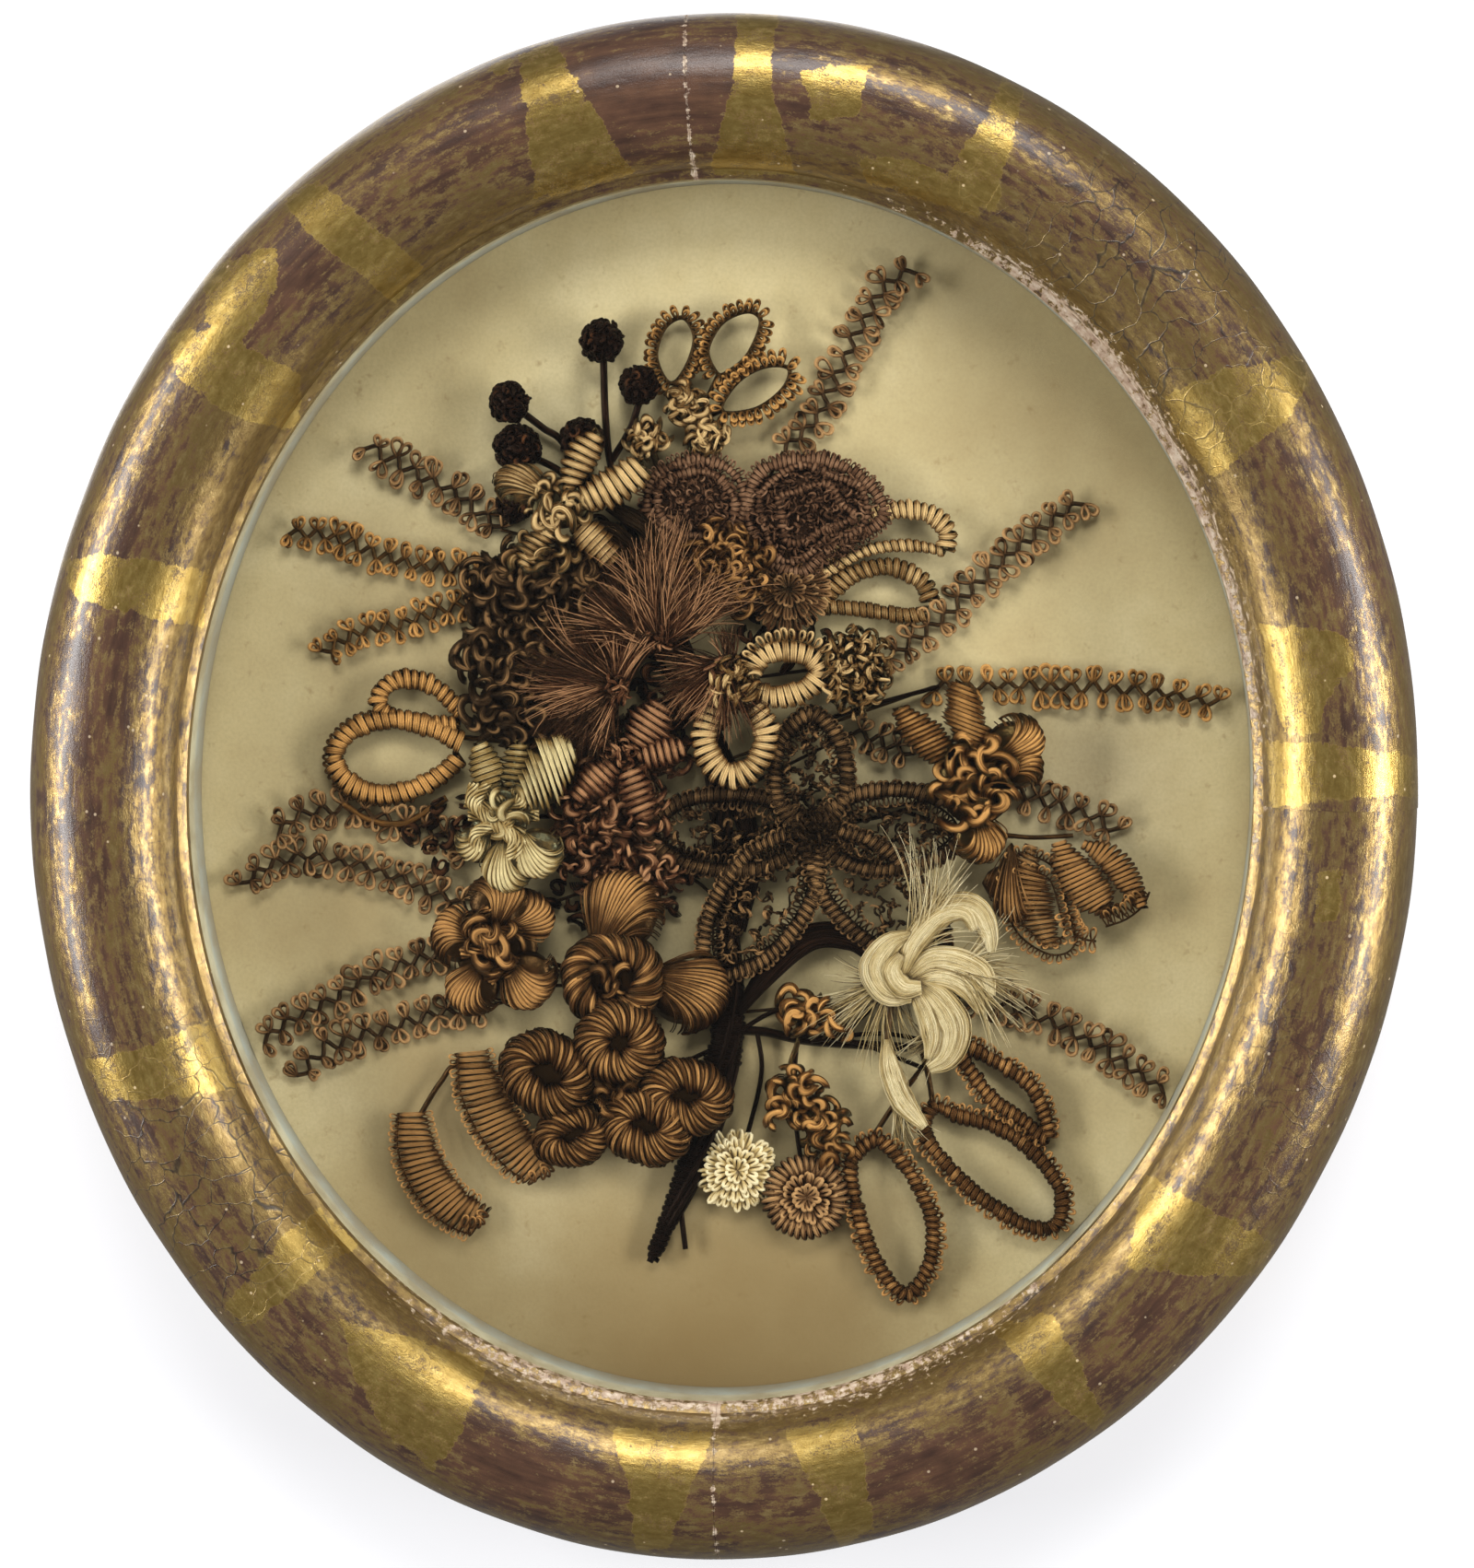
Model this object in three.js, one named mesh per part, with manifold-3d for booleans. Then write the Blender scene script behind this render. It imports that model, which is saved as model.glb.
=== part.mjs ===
// A bouquet of hairwork in an oval gilt shadow-box frame, behind glass.
// Millimetres, +Z up. The front faces -Y, and the back board's outer face lies on y = 0.
import * as THREE from 'three';
import { mergeVertices } from 'three/addons/utils/BufferGeometryUtils.js';
import Module from 'manifold-3d';

const wasm = await Module();
wasm.setup();

// Outer size of the frame
const frame_width = 410;
const frame_height = 457;

// Section of the moulding
const moulding_width = 47.5;
const moulding_depth = 45;
const widest_height = 21;
const back_tuck = 4;
const tuck_share = 0.25;
const lip_thickness = 3;
const rebate_width = 6.5;
const rebate_depth = 22;
const quirk_width = 2.5;
const quirk_rise = 1.6;

// Sheets and boards, from front to back
const glass_thickness = 2;
const paper_thickness = 0.5;
const mount_board_thickness = 2;
const backboard_thickness = 7;
const liner_setback = 0.8;
const backboard_lap = 8;

// Clearances
const seat_gap = 0.3;
const side_clearance = 0.6;
const overrun = 1;

// Nails that hold the back board
const nail_head_radius = 2;
const nail_head_thickness = 0.9;
const nail_radius = 0.8;
const nail_length = 19;
const nail_turns_deg = [48, 132, 228, 312];

// Screw eyes and hanging rings
const eye_turns_deg = [32, 148];
const eye_edge_distance = 13.5;
const eye_radius = 2.6;
const eye_wire_radius = 0.85;
const eye_shank_length = 12;
const ring_radius = 7;
const ring_wire_radius = 0.8;

// Seams between the four glued lengths of moulding, right, top, left and bottom
const seam_turns_deg = [2.5, 95.5, 182.5, 274];

// Wires and plates of the hairwork
const wire_radius = 0.45;
const trunk_radius = 1.1;
const trunk_low_radius = 3.6;
const trunk_tip_radius = 0.7;
const branch_radius = 0.6;

// Tops of the layers of hairwork, as shares of the room between paper and glass
const layer_top_shares = [0.08, 0.24, 0.46, 0.7, 0.92];

// Fineness of the curved forms
const facets_per_segment = 18;
const round_facets = 5;
const plate_facets = 64;
const hole_facets = 8;
const wire_round_facets = 6;
const ring_facets = 18;
const wire_facets = 4;
const trunk_facets = 6;

// The photograph's viewpoint: its size in pixels, its focal length as a share of its width, its angles in
// degrees, and its distance and aim as shares of half the frame's height
const photo_size_px = [1600, 1702];
const photo_focal_share = 2.165;
const view_turn_deg = 4;
const view_rise_deg = 4.5;
const view_roll_deg = 3.08;
const view_distance_share = 4.114;
const view_aim_shares = [0.0289, -0.1357, 0.0219];
const well_width_share = 0.6893;
const well_height_share = 0.7921;

// Planes and sizes that follow
const [photo_width_px, photo_height_px] = photo_size_px;
const photo_focal_px = photo_width_px * photo_focal_share;
const half_width = frame_width / 2;
const half_height = frame_height / 2;
const frame_back = backboard_thickness + seat_gap;
const mount_front = frame_back + mount_board_thickness;
const paper_back = mount_front + seat_gap;
const paper_front = paper_back + paper_thickness;
const lip_back = frame_back + rebate_depth;
const glass_front = lip_back - seat_gap;
const glass_back = glass_front - glass_thickness;
const liner_front = glass_back - seat_gap;
const relief_low = paper_front + seat_gap;
const relief_room = glass_back - seat_gap - relief_low;
const rebate_inset = moulding_width - rebate_width;
const panel_inset = rebate_inset + side_clearance;
const backboard_inset = rebate_inset - backboard_lap;
const nail_inset = backboard_inset + backboard_lap / 2;

function radians(degrees) {
  return THREE.MathUtils.degToRad(degrees);
}

// Point on the oval that lies a given distance inside the frame's widest line
function ovalPoint(turn, inset) {
  const normal = new THREE.Vector2(half_height * Math.cos(turn), half_width * Math.sin(turn)).normalize();
  const edge = new THREE.Vector2(half_width * Math.cos(turn), half_height * Math.sin(turn));
  return edge.addScaledVector(normal, -inset);
}

// Solids in and out of the boolean library
function solidOf(geometry) {
  const bare = geometry.index ? geometry.toNonIndexed() : geometry.clone();
  bare.deleteAttribute('normal');
  bare.deleteAttribute('uv');
  const merged = mergeVertices(bare);
  return new wasm.Manifold(new wasm.Mesh({
    numProp: 3,
    vertProperties: new Float32Array(merged.attributes.position.array),
    triVerts: new Uint32Array(merged.index.array),
  }));
}

function geometryOf(solid) {
  const mesh = solid.getMesh();
  const geometry = new THREE.BufferGeometry();
  geometry.setAttribute('position', new THREE.BufferAttribute(new Float32Array(mesh.vertProperties), 3));
  geometry.setIndex(new THREE.BufferAttribute(new Uint32Array(mesh.triVerts), 1));
  return geometry;
}

function join(geometries) {
  const solids = geometries.map(solidOf);
  return geometryOf(solids.reduce((whole, next) => whole.add(next)));
}

function cut(geometry, tools) {
  return geometryOf(tools.map(solidOf).reduce((whole, tool) => whole.subtract(tool), solidOf(geometry)));
}

// Closed shell through rings of equally many points, with flat ends
function loft(rings) {
  const count = rings[0].length;
  const positions = rings.flat().flatMap((point) => point.toArray());
  const index = [];
  for (let i = 0; i < rings.length - 1; i += 1) {
    const here = i * count;
    const next = here + count;
    for (let j = 0; j < count; j += 1) {
      const k = (j + 1) % count;
      index.push(here + j, next + j, next + k);
      index.push(here + j, next + k, here + k);
    }
  }
  const last = (rings.length - 1) * count;
  THREE.ShapeUtils.triangulateShape(flatten(rings[0]), []).forEach(([a, b, c]) => {
    index.push(a, b, c);
    index.push(last + a, last + c, last + b);
  });
  const geometry = new THREE.BufferGeometry();
  geometry.setAttribute('position', new THREE.Float32BufferAttribute(positions, 3));
  geometry.setIndex(index);
  return outward(geometry);
}

// Ring of points as seen in its own plane
function flatten(ring) {
  const centre = ring.reduce((sum, point) => sum.add(point), new THREE.Vector3()).divideScalar(ring.length);
  const across = ring[0].clone().sub(centre).normalize();
  const normal = new THREE.Vector3();
  ring.forEach((point, i) => {
    const next = ring[(i + 1) % ring.length];
    normal.add(point.clone().sub(centre).cross(next.clone().sub(centre)));
  });
  const up = normal.normalize().cross(across);
  return ring.map((point) => {
    const offset = point.clone().sub(centre);
    return new THREE.Vector2(offset.dot(across), offset.dot(up));
  });
}

// Turns a closed surface so that its faces point out
function outward(geometry) {
  const position = geometry.attributes.position;
  const index = geometry.index.array;
  const corners = [new THREE.Vector3(), new THREE.Vector3(), new THREE.Vector3()];
  let volume = 0;
  for (let i = 0; i < index.length; i += 3) {
    corners.forEach((corner, j) => corner.fromBufferAttribute(position, index[i + j]));
    volume += corners[0].dot(corners[1].clone().cross(corners[2]));
  }
  if (volume < 0) {
    for (let i = 0; i < index.length; i += 3) {
      [index[i], index[i + 1]] = [index[i + 1], index[i]];
    }
  }
  return geometry;
}

// Flat solid between two depths behind the front, from an outline in x and z
function slab(outline, holes, back, front) {
  const leftward = THREE.ShapeUtils.area(outline) > 0 ? outline : [...outline].reverse();
  const shape = new THREE.Shape(leftward);
  shape.holes = holes.map((hole) => new THREE.Path(hole));
  const geometry = new THREE.ExtrudeGeometry(shape, { depth: front - back, bevelEnabled: false });
  geometry.rotateX(Math.PI / 2);
  geometry.translate(0, -back, 0);
  return geometry;
}

function ovalOutline(inset) {
  return Array.from({ length: plate_facets }, (_, i) => ovalPoint((2 * Math.PI * i) / plate_facets, inset));
}

// Cylinder along Y between two depths
function rod(place, radius, back, front, facets) {
  const geometry = new THREE.CylinderGeometry(radius, radius, front - back, facets);
  geometry.translate(place.x, -(back + front) / 2, place.y);
  return geometry;
}

// Section of the moulding: distance inside the widest line, and depth from the wall
function mouldingSection() {
  const section = [];
  const crest_inset = (moulding_width - quirk_width) / 2;
  const inner_rise = moulding_depth - rebate_depth - lip_thickness - quirk_rise;
  const crest = frame_back + moulding_depth;
  section.push([back_tuck, frame_back]);
  section.push([back_tuck * tuck_share, frame_back + widest_height / 2]);
  for (let i = 0; i <= round_facets; i += 1) {
    const turn = (Math.PI / 2) * (i / round_facets);
    section.push([
      crest_inset * (1 - Math.cos(turn)),
      crest - (moulding_depth - widest_height) * (1 - Math.sin(turn)),
    ]);
  }
  for (let i = 1; i <= round_facets; i += 1) {
    const turn = (Math.PI / 2) * (i / round_facets);
    section.push([
      crest_inset * (1 + Math.sin(turn)),
      crest - inner_rise * (1 - Math.cos(turn)),
    ]);
  }
  section.push([moulding_width, lip_back + lip_thickness]);
  section.push([moulding_width, lip_back]);
  section.push([rebate_inset, lip_back]);
  section.push([rebate_inset, frame_back]);
  return section;
}

// Parameter step that opens a seam by the seat gap
function seamShift(turn) {
  const pace = Math.hypot(half_width * Math.sin(turn), half_height * Math.cos(turn));
  return seat_gap / 2 / pace;
}

function frameSegment(first, last) {
  const section = mouldingSection();
  const start = radians(first) + seamShift(radians(first));
  const end = radians(last) - seamShift(radians(last));
  const rings = Array.from({ length: facets_per_segment + 1 }, (_, i) => {
    const turn = start + ((end - start) * i) / facets_per_segment;
    return section.map(([inset, depth]) => {
      const place = ovalPoint(turn, inset);
      return new THREE.Vector3(place.x, -depth, place.y);
    });
  });
  return loft(rings);
}

// Holes in the frame's back for the nails and screw eyes
function frameHoles() {
  const holes = nail_turns_deg.map((turn) => rod(
    ovalPoint(radians(turn), nail_inset),
    nail_radius + seat_gap,
    frame_back - overrun,
    nail_length + seat_gap,
    hole_facets,
  ));
  eye_turns_deg.forEach((turn) => holes.push(rod(
    ovalPoint(radians(turn), eye_edge_distance),
    eye_wire_radius + seat_gap,
    frame_back - overrun,
    frame_back + eye_shank_length + seat_gap,
    hole_facets,
  )));
  return holes;
}

function backboard() {
  const board = slab(ovalOutline(backboard_inset), [], 0, backboard_thickness);
  const tools = nail_turns_deg.flatMap((turn) => {
    const place = ovalPoint(radians(turn), nail_inset);
    return [
      rod(place, nail_radius + seat_gap, -overrun, backboard_thickness + overrun, hole_facets),
      rod(place, nail_head_radius + seat_gap, -overrun, nail_head_thickness + seat_gap, hole_facets),
    ];
  });
  return cut(board, tools);
}

function nail(turn) {
  const place = ovalPoint(radians(turn), nail_inset);
  const profile = [
    [0, nail_length],
    [nail_radius, nail_length - 2 * nail_radius],
    [nail_radius, nail_head_thickness],
    [nail_head_radius, nail_head_thickness],
    [nail_head_radius, 0],
    [0, 0],
  ].map(([radius, depth]) => new THREE.Vector2(radius, -depth));
  const geometry = new THREE.LatheGeometry(profile, hole_facets);
  geometry.translate(place.x, 0, place.y);
  return geometry;
}

// Depth of an eye's centre, just clear of the frame's back
const eye_depth = frame_back - eye_radius - eye_wire_radius - seat_gap;

function screwEye(turn) {
  const place = ovalPoint(radians(turn), eye_edge_distance);
  const loop = new THREE.TorusGeometry(eye_radius, eye_wire_radius, wire_round_facets, 2 * hole_facets);
  loop.rotateY(Math.PI / 2);
  loop.translate(place.x, -eye_depth, place.y);
  const shank_end = frame_back + eye_shank_length;
  const shank = rod(place, eye_wire_radius, eye_depth + eye_radius, shank_end, hole_facets);
  return join([loop, shank]);
}

// A ring hangs in its eye, with the clearance above the eye's lower wire
const ring_drop = eye_radius - eye_wire_radius - ring_wire_radius - seat_gap;

function hangingRing(turn) {
  const place = ovalPoint(radians(turn), eye_edge_distance);
  const geometry = new THREE.TorusGeometry(ring_radius, ring_wire_radius, wire_round_facets, ring_facets);
  geometry.rotateX(Math.PI / 2);
  geometry.translate(place.x, -eye_depth, place.y - ring_drop - ring_radius);
  return geometry;
}

// From the photograph's pixels to the plane at a given depth
const view = (() => {
  const aim = new THREE.Vector3(...view_aim_shares);
  const turn = radians(view_turn_deg);
  const rise = radians(view_rise_deg);
  const away = new THREE.Vector3(0, -1, 0)
    .applyAxisAngle(new THREE.Vector3(-1, 0, 0), rise)
    .applyAxisAngle(new THREE.Vector3(0, 0, 1), turn);
  const eye = aim.clone().addScaledVector(away, view_distance_share);
  const forward = away.clone().negate();
  const level = new THREE.Vector3().crossVectors(forward, new THREE.Vector3(0, 0, 1)).normalize();
  const right = level.clone().applyAxisAngle(away, radians(view_roll_deg));
  const up = new THREE.Vector3().crossVectors(right, forward);
  return { eye, forward, right, up };
})();

// The hairwork grows with the well, each way by itself
const across_scale = (half_width - moulding_width) / well_width_share;
const upward_scale = (half_height - moulding_width) / well_height_share;

function onPlane([px, py], depth) {
  const ray = view.forward.clone()
    .addScaledVector(view.right, (px - photo_width_px / 2) / photo_focal_px)
    .addScaledVector(view.up, (photo_height_px / 2 - py) / photo_focal_px);
  const reach = (-depth / upward_scale - view.eye.y) / ray.y;
  const point = view.eye.clone().addScaledVector(ray, reach);
  return new THREE.Vector2(point.x * across_scale, point.z * upward_scale);
}

// One pixel of the photograph in the plane of the hairwork, across and upward
const pixel_across = (view_distance_share / photo_focal_px) * across_scale;
const pixel_upward = (view_distance_share / photo_focal_px) * upward_scale;

// Back and front of a layer
function layerBack(layer) {
  return layer === 0 ? relief_low : relief_low + relief_room * layer_top_shares[layer - 1] + seat_gap;
}

function layerFront(layer) {
  return relief_low + relief_room * layer_top_shares[layer];
}

function layerMiddle(layer) {
  return (layerBack(layer) + layerFront(layer)) / 2;
}

function smooth(route_px, closed) {
  const points = route_px.map(([x, y]) => new THREE.Vector3(x, y, 0));
  return new THREE.CatmullRomCurve3(points, closed, 'centripetal');
}

// Pixel at a share of a curve, moved sideways
function beside(curve, share, offset_px) {
  const point = curve.getPointAt(share);
  const tangent = curve.getTangentAt(share);
  return [point.x - tangent.y * offset_px, point.y + tangent.x * offset_px];
}

function platePx(outline_px, holes_px, layer) {
  const depth = layerMiddle(layer);
  const place = (point) => onPlane(point, depth);
  const holes = holes_px.map((hole) => hole.map(place));
  return slab(outline_px.map(place), holes, layerBack(layer), layerFront(layer));
}

// Strip along a route, with hair loops standing out on both of its sides, in shares of the photograph's width
const strip_half_share = 0.0019;
const loop_pitch_share = 0.0175;
const loop_reach_share = 0.0113;
const strip_half_px = photo_width_px * strip_half_share;
const loop_pitch_px = photo_width_px * loop_pitch_share;
const loop_reach_px = photo_width_px * loop_reach_share;
const loop_start_share = 0.3;
const loop_end_share = 0.85;

function frilledSide(curve, side) {
  const loops = Math.round(curve.getLength() / loop_pitch_px);
  const points = [];
  for (let i = 0; i < loops; i += 1) {
    points.push(beside(curve, i / loops, side * strip_half_px));
    points.push(beside(curve, (i + loop_start_share) / loops, side * loop_reach_px));
    points.push(beside(curve, (i + loop_end_share) / loops, side * loop_reach_px));
  }
  return points;
}

function sprig({ route_px, stalk_px }) {
  const curve = smooth(route_px, false);
  const stalk = smooth([stalk_px, route_px[0]], false);
  const outline = [
    beside(stalk, 0, strip_half_px),
    ...frilledSide(curve, 1),
    beside(curve, 1, 0),
    ...frilledSide(curve, -1).reverse(),
    beside(stalk, 0, -strip_half_px),
  ];
  return platePx(outline, [], 0);
}

// Closed loop of gimp with its hair loops standing outward, in shares of the photograph's width
const gimp_half_share = 0.0031;
const gimp_pitch_share = 0.0225;
const gimp_half_px = photo_width_px * gimp_half_share;
const gimp_pitch_px = photo_width_px * gimp_pitch_share;

function gimpRing(route_px, layer, reach_px) {
  const curve = smooth(route_px, true);
  const area = THREE.ShapeUtils.area(curve.getSpacedPoints(round_facets * 3));
  const out = area > 0 ? -1 : 1;
  const loops = Math.round(curve.getLength() / gimp_pitch_px);
  const outer = [];
  const inner = [];
  for (let i = 0; i < loops; i += 1) {
    outer.push(beside(curve, i / loops, out * gimp_half_px));
    outer.push(beside(curve, (i + 1 / 2) / loops, out * reach_px));
    inner.push(beside(curve, i / loops, -out * gimp_half_px));
  }
  return platePx(outer, [inner], layer);
}

// Plain strip of wire along a route, as wide as its layer is deep
function strip(route_px, layer) {
  const curve = smooth(route_px, false);
  const steps = route_px.length > 2 ? 2 * (route_px.length - 1) : 1;
  const shares = Array.from({ length: steps + 1 }, (_, i) => i / steps);
  const side = (sign) => shares.map((share) => beside(curve, share, sign * strip_half_px));
  return platePx([...side(1), ...side(-1).reverse()], [], layer);
}

// Rounded petal from a flower's centre to its tip
const petal_around = 6;
const petal_along = 4;

function petal(from_px, tip_px, width_px, layer) {
  const depth = layerMiddle(layer);
  const from = onPlane(from_px, depth);
  const tip = onPlane(tip_px, depth);
  const geometry = new THREE.SphereGeometry(1, petal_around, petal_along);
  geometry.scale(
    from.distanceTo(tip) / 2,
    (layerFront(layer) - layerBack(layer)) / 2,
    (width_px * (pixel_across + pixel_upward)) / 4,
  );
  geometry.rotateY(-Math.atan2(tip.y - from.y, tip.x - from.x));
  geometry.translate((from.x + tip.x) / 2, -depth, (from.y + tip.y) / 2);
  return geometry;
}

function ball(place_px, radius_px, layer) {
  const left = [place_px[0] - radius_px, place_px[1]];
  const right = [place_px[0] + radius_px, place_px[1]];
  return petal(left, right, radius_px * 2, layer);
}

// Stalk from a flower down to the wire that carries it
function stalk(place_px, layer, carrier_radius = branch_radius) {
  const place = onPlane(place_px, layerMiddle(1));
  const foot = layerMiddle(1) + carrier_radius + seat_gap;
  return rod(place, wire_radius, foot, layerMiddle(layer), wire_facets);
}

// Flower of solid petals round a core
function flower({ centre_px, core_px, tips_px, width_px, layer, foot_px = centre_px, carrier_radius }) {
  return join([
    ball(centre_px, core_px, layer),
    ...tips_px.map((tip_px) => petal(centre_px, tip_px, width_px, layer)),
    stalk(foot_px, layer, carrier_radius),
  ]);
}

// Petal bent from one closed loop of gimp, from a flower's centre to its tip
const loop_petal_waist_share = 0.3;

function loopPetal(centre_px, tip_px, width_px, layer, reach_px) {
  const from = new THREE.Vector2(...centre_px);
  const along = new THREE.Vector2(...tip_px).sub(from);
  const across = new THREE.Vector2(-along.y, along.x).normalize().multiplyScalar(width_px / 2);
  const waist = loop_petal_waist_share;
  const corners = [[0, 0], [waist, 1], [1 - waist, 1], [1, 0], [1 - waist, -1], [waist, -1]];
  const route_px = corners.map(([share, side]) => {
    const point = from.clone().addScaledVector(along, share).addScaledVector(across, side);
    return point.toArray();
  });
  return gimpRing(route_px, layer, reach_px);
}

function loopFlower({ centre_px, core_px, tips_px, width_px, layer, reach_px, veined }) {
  const vein = (tip_px) => strip([centre_px, tip_px], layer);
  return join([
    ball(centre_px, core_px, layer),
    ...tips_px.map((tip_px) => loopPetal(centre_px, tip_px, width_px, layer, reach_px)),
    ...(veined ? tips_px.map(vein) : []),
    stalk(centre_px, layer),
  ]);
}

// Mass of curls that run into one another
function curls({ places_px, radius_px, layer, foot_px }) {
  return join([...places_px.map((place_px) => ball(place_px, radius_px, layer)), stalk(foot_px, layer)]);
}

// Tube of changing radius along points in space
function tube(points, radii, facets) {
  const curve = new THREE.CatmullRomCurve3(points, false, 'centripetal');
  const steps = points.length;
  const frames = curve.computeFrenetFrames(steps, false);
  const rings = Array.from({ length: steps + 1 }, (_, i) => {
    const share = i / steps;
    const spot = share * (radii.length - 1);
    const low = Math.min(Math.floor(spot), radii.length - 2);
    const radius = radii[low] + (radii[low + 1] - radii[low]) * (spot - low);
    const centre = curve.getPointAt(share);
    return Array.from({ length: facets }, (__, j) => {
      const turn = (2 * Math.PI * j) / facets;
      return centre.clone()
        .addScaledVector(frames.normals[i], radius * Math.cos(turn))
        .addScaledVector(frames.binormals[i], radius * Math.sin(turn));
    });
  });
  return loft(rings);
}

function inSpace(point_px, depth) {
  const place = onPlane(point_px, depth);
  return new THREE.Vector3(place.x, -depth, place.y);
}

// Ball of wound hair that rests just clear of the paper
const berry_facets = 8;

function berry(place_px, radius_px) {
  const radius = (radius_px * (pixel_across + pixel_upward)) / 2;
  const centre = inSpace(place_px, relief_low + radius);
  const geometry = new THREE.SphereGeometry(radius, berry_facets, berry_facets / 2);
  geometry.translate(centre.x, centre.y, centre.z);
  return geometry;
}

// Trunk of bound wires, with a branch to each flower
const trunk_px = [[690, 590], [740, 700], [775, 830], [790, 1000], [790, 1130], [760, 1250], [705, 1370]];
const branches_px = [
  [[740, 690], [700, 612], [680, 562]],
  [[690, 600], [655, 582], [612, 565]],
  [[694, 600], [735, 545], [750, 480]],
  [[738, 695], [792, 625], [850, 598]],
  [[770, 805], [790, 735], [830, 680], [858, 646]],
  [[745, 712], [670, 700], [595, 700]],
  [[787, 945], [650, 893], [545, 885]],
  [[789, 1040], [660, 1010], [531, 1026]],
  [[790, 1080], [720, 1058], [654, 1062]],
  [[789, 1132], [730, 1160], [670, 1200]],
  [[788, 960], [880, 905], [980, 880], [1062, 846]],
  [[980, 880], [1040, 900], [1100, 908]],
  [[789, 1118], [830, 1120], [880, 1130], [985, 1137]],
  [[900, 1131], [940, 1100], [975, 1055]],
  [[822, 1119], [822, 1190], [803, 1262]],
  [[865, 1127], [862, 1200], [875, 1295]],
];

function mainStem() {
  const upper = trunk_px.slice(2).map(() => trunk_radius);
  const radii = [...upper, trunk_low_radius, trunk_tip_radius];
  const points = trunk_px.map((point_px, i) => {
    return inSpace(point_px, Math.max(layerMiddle(1), relief_low + radii[i]));
  });
  const branches = branches_px.map((route_px) => {
    const route = route_px.map((point_px) => inSpace(point_px, layerMiddle(1)));
    return tube(route, [branch_radius, branch_radius], wire_facets);
  });
  return join([tube(points, radii, trunk_facets), ...branches]);
}

// Sprigs, each from its inner end to its tip, and the trunk point that its stalk runs to
const sprigs_px = {
  sprig_left_1: {
    stalk_px: [700, 612],
    route_px: [[543, 575], [502, 542], [462, 520], [435, 503], [398, 483]],
  },
  sprig_left_2: {
    stalk_px: [720, 655],
    route_px: [[505, 619], [455, 615], [406, 600], [364, 584], [314, 577]],
  },
  sprig_left_3: {
    stalk_px: [733, 685],
    route_px: [[498, 657], [459, 668], [421, 680], [383, 688], [350, 709]],
  },
  sprig_left_4: {
    stalk_px: [783, 925],
    route_px: [[498, 913], [459, 898], [385, 878], [345, 880], [308, 896]],
  },
  sprig_left_5: {
    stalk_px: [788, 985],
    route_px: [[497, 985], [430, 952], [370, 935], [330, 932], [262, 965]],
  },
  sprig_left_6: {
    stalk_px: [789, 1030],
    route_px: [[478, 1035], [400, 1060], [360, 1085], [320, 1105], [285, 1130]],
  },
  sprig_left_7: {
    stalk_px: [789, 1075],
    route_px: [[485, 1098], [440, 1110], [390, 1125], [350, 1140], [325, 1170]],
  },
  sprig_right_1: {
    stalk_px: [738, 700],
    route_px: [[850, 490], [895, 440], [925, 375], [960, 310], [995, 290]],
  },
  sprig_right_2: {
    stalk_px: [752, 745],
    route_px: [[965, 715], [1040, 655], [1080, 615], [1130, 575], [1175, 545]],
  },
  sprig_right_3: {
    stalk_px: [775, 830],
    route_px: [[1025, 745], [1150, 745], [1220, 748], [1280, 755], [1325, 765]],
  },
  sprig_right_4: {
    stalk_px: [781, 868],
    route_px: [[930, 800], [960, 805], [985, 820]],
  },
  sprig_right_5: {
    stalk_px: [784, 905],
    route_px: [[1105, 860], [1130, 870], [1165, 880], [1190, 890], [1215, 905]],
  },
  sprig_right_6: {
    stalk_px: [790, 1100],
    route_px: [[1060, 1085], [1130, 1105], [1200, 1140], [1265, 1185]],
  },
};

function berrySprayTop() {
  return join([
    berry([653, 370], 22),
    berry([694, 418], 19),
    strip([[655, 380], [660, 450], [668, 500], [679, 555]], 1),
    strip([[694, 428], [680, 480], [668, 505]], 1),
  ]);
}

function berrySprayLeft() {
  return join([
    berry([553, 437], 20),
    berry([562, 487], 24),
    berry([632, 478], 20),
    berry([560, 545], 18),
    strip([[560, 442], [612, 482], [640, 540], [651, 574]], 1),
    strip([[572, 492], [608, 512], [641, 545]], 1),
    strip([[632, 488], [640, 542]], 1),
    strip([[570, 545], [644, 550]], 1),
  ]);
}

// Loops of gimp that stand at the bouquet's edge, with the wires that they share
function loopSprayTop() {
  return join([
    loopPetal([733, 418], [748, 342], 34, 1, 12),
    loopPetal([780, 412], [818, 338], 34, 1, 12),
    loopPetal([782, 442], [858, 405], 34, 1, 14),
    strip([[752, 474], [758, 450], [733, 415]], 1),
    strip([[757, 455], [779, 408]], 1),
    strip([[756, 460], [786, 440]], 1),
  ]);
}

function loopPairLeft() {
  return join([
    gimpRing([[500, 745], [460, 735], [420, 745], [412, 768], [440, 788], [498, 790]], 1, 16),
    gimpRing([
      [498, 815], [450, 795], [400, 797], [368, 822], [376, 855], [410, 876], [450, 868], [494, 838],
    ], 1, 20),
    strip([[764, 826], [660, 815], [488, 801]], 1),
  ]);
}

function loopPairRight() {
  return join([
    gimpRing([[893, 602], [935, 562], [985, 552], [1028, 572], [1030, 598], [990, 606], [930, 618]], 1, 14),
    gimpRing([[893, 650], [940, 622], [985, 626], [1010, 648], [992, 668], [935, 670]], 1, 12),
    strip([[862, 643], [885, 628], [912, 614]], 1),
    strip([[870, 640], [905, 645]], 1),
  ]);
}

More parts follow.
